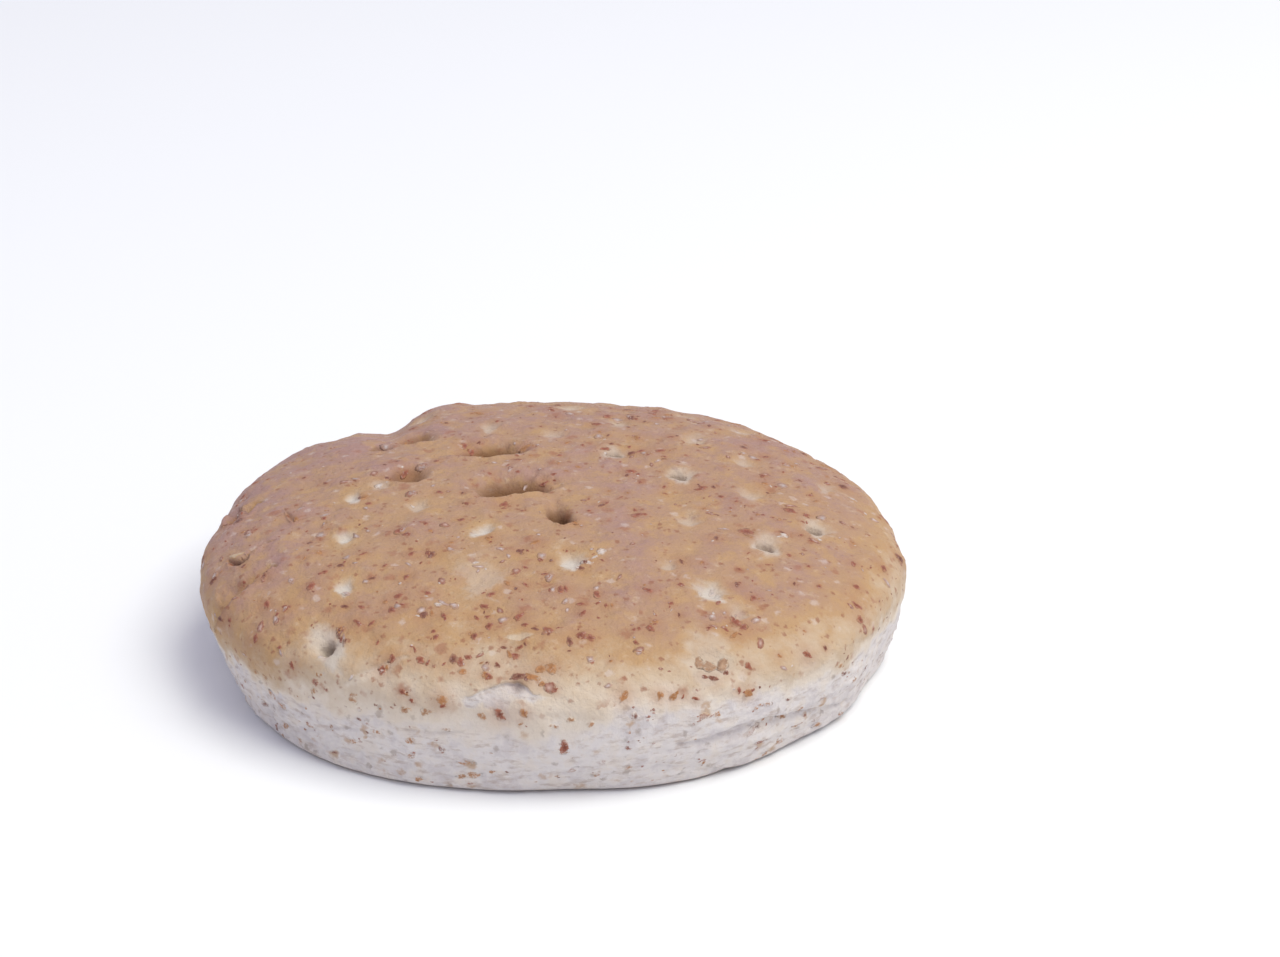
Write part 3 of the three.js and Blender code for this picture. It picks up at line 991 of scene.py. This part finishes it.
def add_patches(tree, where, colour):
    """Each patch lies where its noise is in its range and the browning is right for it."""
    browning = read_attribute(tree, "baked")
    there = {name: add_range(tree, browning, *limits) for name, limits in PATCH_PLACES.items()}
    there["well baked"] = add_math(tree, "MULTIPLY", there["well baked"], there["crust"])
    noises = {name: add_noise(tree, where, **make) for name, make in PATCH_NOISES.items()}
    flattened = add_vector_math(tree, "MULTIPLY", where, (1, 1, STREAK_FLATNESS))
    noises["streaks"] = add_noise(tree, flattened, **STREAKS)
    for patch in PATCHES:
        spread = add_range(tree, noises[patch["noise"]], *patch["range"], 0.0, patch["share"])
        share = add_math(tree, "MULTIPLY", spread, there[patch["on"]])
        colour = add_mix(tree, share, colour, screen_colour(*patch["colour"]))
    return colour


print("kinds of patch:", len(PATCHES))

# %% Blots of bran under the skin
BLOTS = [
    {"spacing": 0.8, "chance": 0.30, "share": 0.5, "colour": (150, 100, 78), "on": "top"},
    {"spacing": 1.3, "chance": 0.36, "share": 0.65, "colour": (146, 92, 70), "on": "top"},
    {"spacing": 2.9, "chance": 0.50, "share": 0.6, "colour": (160, 106, 82), "on": "top"},
    {"spacing": 1.9, "chance": 0.28, "share": 0.4, "colour": (218, 204, 198), "on": "top"},
    {"spacing": 1.7, "chance": 0.35, "share": 0.5, "colour": (146, 128, 116), "on": "wall"},
    {"spacing": 2.6, "chance": 0.50, "share": 0.7, "colour": (184, 148, 114), "on": "wall"},
]
BLOT_RAGGEDNESS = 0.42
BLOT_WOBBLES = 2.2
BLOT_RADIUS = 0.40
BLOT_EDGE = (-0.08, 0.24)
BLOT_TOP = (0.05, 0.3)


def add_blot(tree, where, spacing, chance, share):
    """Soft ragged blots, at most one to each cell of a size in millimetres."""
    size = spacing * MM
    wobbling = {"Vector": where, "Scale": BLOT_WOBBLES / size, "Detail": 3.0}
    wobble = add_node(tree, "ShaderNodeTexNoise", wobbling).outputs["Color"]
    centred = add_vector_math(tree, "SUBTRACT", wobble, (0.5, 0.5, 0.5))
    ragged_place = add_vector_math(tree, "MULTIPLY_ADD", centred, (2 * BLOT_RAGGEDNESS * size,) * 3, where)
    cells = add_node(tree, "ShaderNodeTexVoronoi", {"Vector": ragged_place, "Scale": 1 / size})
    luck = add_node(tree, "ShaderNodeSeparateColor", {0: cells.outputs["Color"]}).outputs[0]
    radius = add_range(tree, luck, 1 - chance, 1.0, 0.0, BLOT_RADIUS)
    depth = add_math(tree, "SUBTRACT", radius, cells.outputs["Distance"])
    return add_range(tree, depth, *BLOT_EDGE, 0.0, share)


def add_blots(tree, where, colour):
    on_top_share = add_range(tree, read_attribute(tree, "baked"), *BLOT_TOP)
    there = {"top": on_top_share, "wall": add_math(tree, "SUBTRACT", 1.0, on_top_share)}
    for blot in BLOTS:
        spots = add_blot(tree, where, blot["spacing"], blot["chance"], blot["share"])
        share = add_math(tree, "MULTIPLY", spots, there[blot["on"]])
        colour = add_mix(tree, share, colour, screen_colour(*blot["colour"]))
    return colour


print("kinds of blot:", len(BLOTS))

# %% Scoops with painted shade, stains, pale dents, and painted shade in holes and cracks, one over another
# The golden colour is darker golden crust, partly painted shade, and the dark colour is painted shade.
MARK_COLOURS = {
    "golden_and_shade": (125, 86, 50),
    "stain": (164, 110, 80),
    "pale": (209, 202, 195),
    "painted_shade": (82, 54, 44),
}
ROUGHNESS = {"pale": 0.8, "baked": 0.52}
ROUGHNESS_RANGE = (0.1, 0.7)
SHEEN = 0.25
COARSE_BUMPS = 1.6
BUMP_STRENGTH = 0.9
BUMP_HEIGHT = 0.28


def add_skin(tree, shader):
    """Build the whole finish of the skin. Returns its colour."""
    where = add_node(tree, "ShaderNodeTexCoord").outputs["Object"]
    colour, browned = add_baking(tree, where)
    colour = add_blots(tree, where, add_patches(tree, where, colour))
    for name, mark_colour in MARK_COLOURS.items():
        colour = add_mix(tree, read_attribute(tree, name), colour, screen_colour(*mark_colour))
    roughness = add_range(tree, browned, *ROUGHNESS_RANGE, ROUGHNESS["pale"], ROUGHNESS["baked"])
    tree.links.new(roughness, shader.inputs["Roughness"])
    shader.inputs["Specular IOR Level"].default_value = SHEEN
    fine_bumps = add_noise(tree, where, size=0.6, detail=6.0, rough=0.7)
    coarse_bumps = add_noise(tree, where, size=1.8, detail=4.0)
    height = add_math(tree, "MULTIPLY_ADD", coarse_bumps, COARSE_BUMPS, fine_bumps)
    bumping = {"Height": height, "Strength": BUMP_STRENGTH, "Distance": BUMP_HEIGHT * MM}
    bump = add_node(tree, "ShaderNodeBump", bumping)
    tree.links.new(bump.outputs[0], shader.inputs["Normal"])
    return colour


crust_material, crust_tree, crust_shader = new_material("baked_crust")
crust_colour = add_skin(crust_tree, crust_shader)
crust_tree.links.new(crust_colour, crust_shader.inputs["Base Color"])
crust_mesh.materials.append(crust_material)
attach(crust, "root")
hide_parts("bread")
print("nodes in the crust's material:", len(crust_tree.nodes))

# %% [markdown]
# ## Flakes of bran
# Wholemeal dough is full of bran: thin husks, some reddish brown, some grey and half clear, some
# amber. They lie in the skin and stand out of it by a fraction of a millimetre. A particle system
# would scatter copies of one flake, but copies are lost when the model is exported. Here all the
# flakes are one mesh made from arrays, every flake with its own outline, and each corner is set down
# on the skin, so that the flakes follow the dents. The skin of the dough runs up over them, so that
# their material fades from the flake's own colour in the middle to the crust's at the edge.

# %% The flakes that stand out, as pixels of the picture
SEEN_FLAKES = {
    "ruddy": [
        (267, 604), (326, 483), (412, 429), (470, 452), (465, 446), (544, 484), (399, 531),
        (411, 554), (427, 593), (428, 553), (363, 554), (406, 577), (398, 596), (311, 586),
        (361, 607), (358, 623), (371, 624), (378, 642), (461, 520), (477, 618), (487, 617),
        (519, 617), (444, 616), (484, 607), (489, 626), (492, 594), (526, 585), (606, 606),
        (681, 584), (709, 628), (735, 622), (743, 628), (754, 598), (549, 630), (580, 635),
        (590, 638), (515, 655), (436, 637), (420, 660), (428, 663), (415, 650), (392, 659),
        (383, 670), (565, 748), (749, 667), (739, 691), (650, 628), (402, 692), (255, 638),
        (286, 609), (327, 689), (316, 683), (292, 665), (460, 662), (488, 676), (581, 604),
        (475, 636), (548, 577), (560, 590), (565, 589), (597, 594), (541, 560),
    ],
    "umber": [
        (225, 516), (704, 677), (713, 678), (726, 673), (264, 576), (345, 607), (341, 565),
        (387, 478), (453, 660), (497, 665), (519, 676), (527, 678), (340, 631), (479, 443),
        (579, 568), (585, 562), (757, 727), (335, 752), (443, 750), (635, 717), (203, 560),
        (220, 619), (213, 580), (431, 554), (519, 551), (535, 629), (737, 585), (570, 641),
        (423, 615), (264, 704),
    ],
    "amber": [
        (319, 552), (296, 519), (488, 538), (353, 696), (353, 700), (405, 709), (427, 711),
        (386, 668), (485, 674), (510, 655), (462, 672), (531, 677), (541, 669), (551, 668),
        (543, 684), (524, 713), (482, 716), (673, 697), (624, 696), (570, 720), (591, 725),
        (654, 622), (353, 742), (412, 756), (462, 776), (474, 775), (492, 772), (378, 732),
        (629, 767), (817, 725), (795, 726), (265, 677), (432, 613), (442, 701), (660, 696),
        (749, 693), (734, 635), (340, 629), (363, 498), (310, 726), (411, 741), (768, 704),
        (717, 714), (782, 716), (273, 695), (286, 725), (448, 547), (507, 583),
    ],
    "husk": [
        (241, 501), (249, 535), (214, 576), (300, 509), (326, 515), (324, 524), (366, 508),
        (355, 479), (422, 468), (386, 447), (494, 463), (510, 470), (525, 488), (433, 486),
        (368, 531), (413, 493), (347, 557), (346, 593), (398, 606), (480, 567), (501, 549),
        (509, 556), (285, 609), (422, 611), (503, 620), (281, 653), (382, 672), (639, 652),
        (608, 686), (485, 667), (344, 640), (276, 619), (291, 580), (366, 582), (356, 536),
        (539, 535), (542, 556), (553, 590), (566, 601), (454, 605), (408, 564), (450, 549),
        (567, 610), (590, 660), (757, 620), (712, 616), (784, 668), (244, 654), (550, 577),
        (597, 588), (403, 530), (478, 571),
    ],
    # The pale chaff is bits of husk, and partly painted highlight.
    "chaff": [
        (321, 657), (379, 486), (413, 507), (578, 567), (586, 562), (595, 557), (602, 552),
        (700, 594), (712, 594),
    ],
    "grey": [
        (709, 667), (697, 663), (722, 667), (345, 641),
    ],
    "ringed": [
        (549, 688), (620, 577), (446, 525), (442, 581), (374, 473), (344, 482), (261, 627),
        (500, 611), (516, 571), (249, 532), (424, 466), (510, 468), (277, 621), (263, 580),
        (548, 632), (640, 650), (480, 655), (411, 494),
    ],
}
SEEN_LENGTHS = (1.6, 3.0)
SEEN_TURN = 0.6
SEEN_SLIMNESS = (0.4, 0.85)
BOLD_FLAKES = {
    (470, 452): {"length": 3.0, "slimness": 0.7, "turn": 90},
    (549, 688): {"length": 2.8, "slimness": 0.9, "turn": 90},
    (519, 676): {"length": 3.4, "slimness": 0.6, "turn": 10},
    (531, 677): {"length": 2.8, "slimness": 0.6, "turn": -15},
    (541, 669): {"length": 2.4, "slimness": 0.7, "turn": 30},
    (347, 557): {"length": 2.6, "slimness": 0.7, "turn": 90},
    (565, 748): {"length": 3.8, "slimness": 0.5, "turn": 90},
    (709, 667): {"length": 4.0, "slimness": 0.7, "turn": 10},
    (697, 663): {"length": 3.0, "slimness": 0.7, "turn": 80},
    (704, 677): {"length": 1.8, "slimness": 0.6, "turn": 10},
    (726, 673): {"length": 1.6, "slimness": 0.6, "turn": 60},
    (713, 678): {"length": 2.4, "slimness": 0.5, "turn": -20},
    (722, 667): {"length": 3.8, "slimness": 0.5, "turn": 75},
    (321, 657): {"length": 2.0, "slimness": 0.45, "turn": 10},
}
print("flakes that stand out:", sum(len(pixels) for pixels in SEEN_FLAKES.values()))

# %% Where flakes may lie
# Pale dents and raw tears stay bare. Most of the large scattered flakes go to the far right,
# because those on the left and in front are placed one by one.
FLAKE_SEED = 23
TOP_EDGE = (13.0, 16.0)
FOOT_EDGE = (0.5, 1.5)
SIGHT_EDGE = (0, 30)
CHANCE_IN_SIGHT = 0.1

rng = np.random.default_rng(FLAKE_SEED)
skin_tree = BVHTree.FromPolygons(
    [Vector(place) for place in skin], [polygon.vertices[:] for polygon in crust_mesh.polygons]
)
areas = np.empty(len(crust_mesh.polygons), np.float32)
crust_mesh.polygons.foreach_get("area", areas)
middles = np.empty(3 * len(areas), np.float32)
crust_mesh.polygons.foreach_get("center", middles)
middles = middles.reshape(-1, 3) / MM - shift
first_corners = [polygon.vertices[0] for polygon in crust_mesh.polygons]
bare = 1 - np.clip(2 * np.maximum(fields["pale"], fields["raw"])[first_corners], 0, 1)
on_top = bare * smooth_step(middles[:, 2], *TOP_EDGE)
on_wall = smooth_step(middles[:, 2], *reversed(TOP_EDGE)) * smooth_step(middles[:, 2], *FOOT_EDGE)
out_of_sight = np.maximum(CHANCE_IN_SIGHT, smooth_step(middles[:, 1] + middles[:, 0], *SIGHT_EDGE))
print("faces on the top:", int((on_top > 0.5).sum()), " on the wall:", int((on_wall > 0.5).sum()))

# %% Add a flake, and broken bits of husk and painted glints beside it
# The pale chaff beside a flake stands in partly for the flake's glint, as painted highlight.
COMPANY = [
    {"kind": "chaff", "chance": 0.12, "share": 0.45},
    {"kind": "ruddy", "chance": 0.3, "share": 0.55},
    {"kind": "umber", "chance": 0.1, "share": 0.5},
]
COMPANY_DISTANCE = 0.4
COMPANY_SIZES = (0.7, 1.3)
flakes = []


def add_flake(place, kind, length, turn, slimness=None, bold=False):
    """Note a flake. A slimness that isn't given is drawn at random."""
    slimness = slimness or rng.uniform(*SEEN_SLIMNESS)
    flake = {"place": Vector(place), "kind": kind, "length": length, "turn": turn}
    flakes.append({**flake, "slimness": slimness, "bold": bold})


def any_turn():
    return rng.uniform(0, 2 * math.pi)


def add_company(place, length, kind):
    """Some of the broken bits of husk that often lie beside a flake; the pale chaff is partly painted
    glint.
    """
    for other in COMPANY:
        if kind != "chaff" and rng.random() < other["chance"]:
            away = Vector(rng.normal(0, COMPANY_DISTANCE * length, 3))
            size = other["share"] * length * rng.uniform(*COMPANY_SIZES)
            add_flake(Vector(place) + away, other["kind"], size, any_turn())


def scatter(count, allowed, lengths, chances):
    """Flakes on faces of the skin drawn at random, by their area, where it is allowed."""
    weights = areas * allowed
    chosen = rng.choice(len(areas), count, replace=False, p=weights / weights.sum())
    kinds = rng.choice(list(chances), count, p=list(chances.values()))
    for index, length, kind in zip(chosen, rng.uniform(*lengths, count), kinds):
        add_flake(middles[index], kind, length, any_turn())
        add_company(middles[index], length, kind)


print("kinds of company:", len(COMPANY))

# %% Lay the flakes that stand out, and the many small ones in between
TOP_CHANCES = {"ruddy": 0.36, "umber": 0.14, "amber": 0.18, "husk": 0.16, "chaff": 0.02, "ringed": 0.14}
WALL_CHANCES = {"ruddy": 0.10, "umber": 0.22, "amber": 0.46, "husk": 0.18, "ringed": 0.04}
for kind, pixels in SEEN_FLAKES.items():
    for pixel in pixels:
        place = seen_on(skin_tree, pixel)
        length, turn = rng.uniform(*SEEN_LENGTHS), rng.normal(math.pi / 2, SEEN_TURN)
        if pixel in BOLD_FLAKES:
            shape = BOLD_FLAKES[pixel]
            bold_turn = math.radians(shape["turn"])
            add_flake(place, kind, shape["length"], bold_turn, shape["slimness"], bold=True)
        else:
            add_flake(place, kind, length, turn)
            add_company(place, length, kind)
scatter(count=180, allowed=on_top * out_of_sight, lengths=(1.6, 3.2), chances=TOP_CHANCES)
scatter(count=420, allowed=on_top, lengths=(0.6, 1.5), chances=TOP_CHANCES)
scatter(count=90, allowed=on_wall, lengths=(1.4, 3.0), chances=WALL_CHANCES)
scatter(count=260, allowed=on_wall, lengths=(0.6, 1.4), chances=WALL_CHANCES)
print("flakes:", len(flakes))

# %% Their colours
# The pale middles of the ringed flakes stand in partly for glints, as painted highlight.
FLAKE_COLOURS = {
    "ruddy": {"middle": (130, 71, 57), "ring": (158, 100, 79)},
    "umber": {"middle": (106, 62, 50), "ring": (138, 92, 76)},
    "amber": {"middle": (164, 112, 72), "ring": (174, 126, 86)},
    "husk": {"middle": (202, 190, 188), "ring": (173, 140, 126)},
    "chaff": {"middle": (212, 202, 198), "ring": (202, 186, 176)},
    "grey": {"middle": (182, 152, 127), "ring": (163, 127, 101)},
    "ringed": {"middle": (196, 166, 154), "ring": (150, 100, 82)},
}


def flake_tint(kind, part):
    return np.array(screen_colour(*FLAKE_COLOURS[kind][part])[:3])


for kind in FLAKE_COLOURS:
    print(kind, flake_tint(kind, "ring").round(2))

# %% The outline of a flake, and how it lies on the skin
FLAKE_SIDES = 11
FLAKE_RAGGEDNESS = (0.45, 1.45)
NEIGHBOUR_SHARE = 0.2
around = np.linspace(0, 2 * math.pi, FLAKE_SIDES, endpoint=False)


def on_skin(place, height):
    """A place set down on the skin, then raised along the skin's normal."""
    foot, normal, _, _ = skin_tree.find_nearest(place)
    return foot + normal * height


def flake_outline(length, slimness, turn):
    """An uneven oval round the origin, as x and y of each side."""
    jagged = rng.uniform(*FLAKE_RAGGEDNESS, FLAKE_SIDES)
    before, after = NEIGHBOUR_SHARE * np.roll(jagged, 1), NEIGHBOUR_SHARE * np.roll(jagged, -1)
    radii = length / 2 * ((1 - 2 * NEIGHBOUR_SHARE) * jagged + before + after)
    x = radii * np.cos(around)
    y = radii * np.sin(around) * slimness
    return zip(x * math.cos(turn) - y * math.sin(turn), x * math.sin(turn) + y * math.cos(turn))


print("sides of a flake:", FLAKE_SIDES)

# %% Build every flake as rings of corners
FLAKE_SHADES = (0.8, 1.18)
FLAKE_HEIGHT = 0.07
FLAKE_MIDDLE = 0.7
FLAKE_BURIED = 0.06
FULL_LENGTH = 1.5
INNER_RING = 0.5
RING_COVER = (0.45, 0.95)
BOLD_COVER = 0.7
TOP_COVER = 0.95
WALL_COVER = 0.62
LYING_TURN = 0.5
UP = Vector((0, 0, 1))
RIGHT = Vector((1, 0, 0))
flake_corners = []
flake_faces = []
flake_tints = []
flake_covers = []


def build_flake(flake):
    """A flake's corners, tints, covers and faces, added to the lists."""
    foot, normal, _, _ = skin_tree.find_nearest(flake["place"])
    standing = foot.z < WAIST_HEIGHT
    side = UP.cross(normal).normalized() if standing else (RIGHT - normal * normal.x).normalized()
    other = normal.cross(side)
    lying = standing and not flake["bold"]
    turn = LYING_TURN * math.sin(flake["turn"] * 2) if lying else flake["turn"]
    cover = WALL_COVER if lying else TOP_COVER
    middle, ring = (flake_tint(flake["kind"], part) for part in ("middle", "ring"))
    rise = FLAKE_HEIGHT * min(1.0, flake["length"] / FULL_LENGTH)
    spokes = [side * x + other * y for x, y in flake_outline(flake["length"], flake["slimness"], turn)]
    start = len(flake_corners)
    flake_corners.append(on_skin(foot, FLAKE_MIDDLE * rise))
    flake_corners.extend(on_skin(foot + INNER_RING * spoke, rise) for spoke in spokes)
    flake_corners.extend(on_skin(foot + spoke, -FLAKE_BURIED) for spoke in spokes)
    flake_corners.append(on_skin(foot, -2 * FLAKE_BURIED))
    flake_tints.append(middle * rng.uniform(*FLAKE_SHADES))
    flake_tints.extend(ring * shade for shade in rng.uniform(*FLAKE_SHADES, FLAKE_SIDES))
    flake_tints.extend([ring] * (FLAKE_SIDES + 1))
    ring_covers = cover * np.maximum(rng.uniform(*RING_COVER, FLAKE_SIDES), BOLD_COVER * flake["bold"])
    flake_covers.extend([cover, *ring_covers])
    flake_covers.extend([0.0] * (FLAKE_SIDES + 1))
    for i in range(FLAKE_SIDES):
        inner, next_inner = start + 1 + i, start + 1 + (i + 1) % FLAKE_SIDES
        outer, next_outer = inner + FLAKE_SIDES, next_inner + FLAKE_SIDES
        flake_faces.append((start, inner, next_inner))
        flake_faces.append((inner, outer, next_outer, next_inner))
        flake_faces.append((start + 1 + 2 * FLAKE_SIDES, next_outer, outer))


for flake in flakes:
    build_flake(flake)
print("flake corners:", len(flake_corners), "faces:", len(flake_faces))

# %% Join the flakes into one piece
bran_mesh = bpy.data.meshes.new("bran_flakes")
bran_mesh.from_pydata([(corner + Vector(shift)) * MM for corner in flake_corners], [], flake_faces)
tint = bran_mesh.attributes.new("tint", "FLOAT_COLOR", "POINT")
tints = np.concatenate([np.array(flake_tints), np.ones((len(flake_tints), 1))], axis=1)
tint.data.foreach_set("color", tints.astype(np.float32).ravel())
store(bran_mesh, "cover", np.array(flake_covers))
bran_mesh.shade_smooth()
bran = add_object("bran_flakes", bran_mesh)
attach(bran, "root")
print("bran, mm:", [round(value / MM, 1) for value in bran.dimensions])

# %% Stain the skin round the larger flakes
STAINING_KINDS = ("ruddy", "amber", "umber")
STAIN_LENGTH = 1.0
STAIN_REACH = 0.7
STAIN_SHARE = 0.4


def stains(flake):
    """Whether a flake is brown, large and high enough to stain the crust round it."""
    high = flake["place"].z > WAIST_HEIGHT
    return high and flake["length"] > STAIN_LENGTH and flake["kind"] in STAINING_KINDS


stain = np.zeros(len(skin))
skin_corners = KDTree(len(skin))
for index, place in enumerate(skin):
    skin_corners.insert(place, index)
skin_corners.balance()
for flake in filter(stains, flakes):
    reach = STAIN_REACH * flake["length"]
    for _, index, distance in skin_corners.find_range(flake["place"], 2 * reach):
        stain[index] = max(stain[index], STAIN_SHARE * math.exp(-((distance / reach) ** 2)))
fields["stain"] = stain
store(crust_mesh, "stain", stain)
print("stained corners:", int((stain > 0.2).sum()))

# %% Tell the bran what the skin below it is like
below_flakes = [skin_corners.find(corner)[1] for corner in flake_corners]
for name in ("baked", *MARK_COLOURS):
    store(bran_mesh, name, fields[name][below_flakes])
print("attributes of the bran:", len(bran_mesh.attributes))

# %% The bran's finish
FIBRE_SIZE = 0.5
# The pale fleck on the fibres is painted highlight, standing in for glints; the dark one is the bran's own
# tone.
GLINTS_AND_FIBRES = [
    {"range": (0.54, 0.74), "share": 0.5, "colour": (216, 202, 194)},
    {"range": (0.48, 0.30), "share": 0.45, "colour": (108, 64, 54)},
]
COVER_RAGGEDNESS = 2.0
COVER_EDGE = (0.15, 0.75)

bran_material, bran_tree, bran_shader = new_material("bran")
skin_colour = add_skin(bran_tree, bran_shader)
flecked_tint = add_node(bran_tree, "ShaderNodeAttribute", attribute_name="tint").outputs["Color"]
bran_where = add_node(bran_tree, "ShaderNodeTexCoord").outputs["Object"]
fibre = add_noise(bran_tree, bran_where, FIBRE_SIZE, detail=4.0, rough=0.7)
for fleck in GLINTS_AND_FIBRES:
    flecked = add_range(bran_tree, fibre, *fleck["range"], 0.0, fleck["share"])
    flecked_tint = add_mix(bran_tree, flecked, flecked_tint, screen_colour(*fleck["colour"]))
uneven = add_math(bran_tree, "SUBTRACT", fibre, 0.5)
cover = read_attribute(bran_tree, "cover")
ragged_cover = add_math(bran_tree, "MULTIPLY_ADD", uneven, COVER_RAGGEDNESS, cover)
covered = add_range(bran_tree, ragged_cover, *COVER_EDGE)
bran_colour = add_mix(bran_tree, covered, skin_colour, flecked_tint)
bran_tree.links.new(bran_colour, bran_shader.inputs["Base Color"])
bran_mesh.materials.append(bran_material)
print("nodes in the bran's material:", len(bran_tree.nodes))

# %% [markdown]
# ## Floor and light
# The bread lies on a plain white surface in a light tent: bright from all round, with a broad lamp
# from the right that leaves a soft shadow on the left.

# %% Floor
FLOOR_HALF = 3.0
FLOOR_ROUGHNESS = 0.9
FLOOR_COLOUR = screen_colour(242, 244, 248)
floor_mesh = bpy.data.meshes.new("floor")
floor_corners = [(x * FLOOR_HALF, y * FLOOR_HALF, 0) for x, y in ((-1, -1), (1, -1), (1, 1), (-1, 1))]
floor_mesh.from_pydata(floor_corners, [], [(0, 1, 2, 3)])
floor = add_object("floor", floor_mesh)
floor_material, _, floor_shader = new_material("white_surface")
floor_shader.inputs["Base Color"].default_value = FLOOR_COLOUR
floor_shader.inputs["Roughness"].default_value = FLOOR_ROUGHNESS
floor_mesh.materials.append(floor_material)
print("floor, m:", 2 * FLOOR_HALF)

# %% Light
KEY_PLACE = Vector((0.58, -0.27, 1.25))
KEY_SIZE = 0.95
KEY_POWER = 16.1
KEY_COLOUR = (1.0, 0.988, 0.865)
TENT_COLOUR = (0.845, 0.84, 0.985, 1.0)
TENT_STRENGTH = 0.63

key = add_object("key", bpy.data.lights.new("key", "AREA"))
key.data.size = KEY_SIZE
key.data.energy = KEY_POWER
key.data.color = KEY_COLOUR
key.location = KEY_PLACE
key.rotation_euler = (-KEY_PLACE).to_track_quat("-Z", "Y").to_euler()
tent = bpy.data.worlds.new("tent")
tent.use_nodes = True
bpy.context.scene.world = tent
background = tent.node_tree.nodes["Background"]
background.inputs["Color"].default_value = TENT_COLOUR
background.inputs["Strength"].default_value = TENT_STRENGTH
bpy.context.scene.view_settings.view_transform = "Standard"
print("key lamp at", [round(value, 2) for value in key.location])
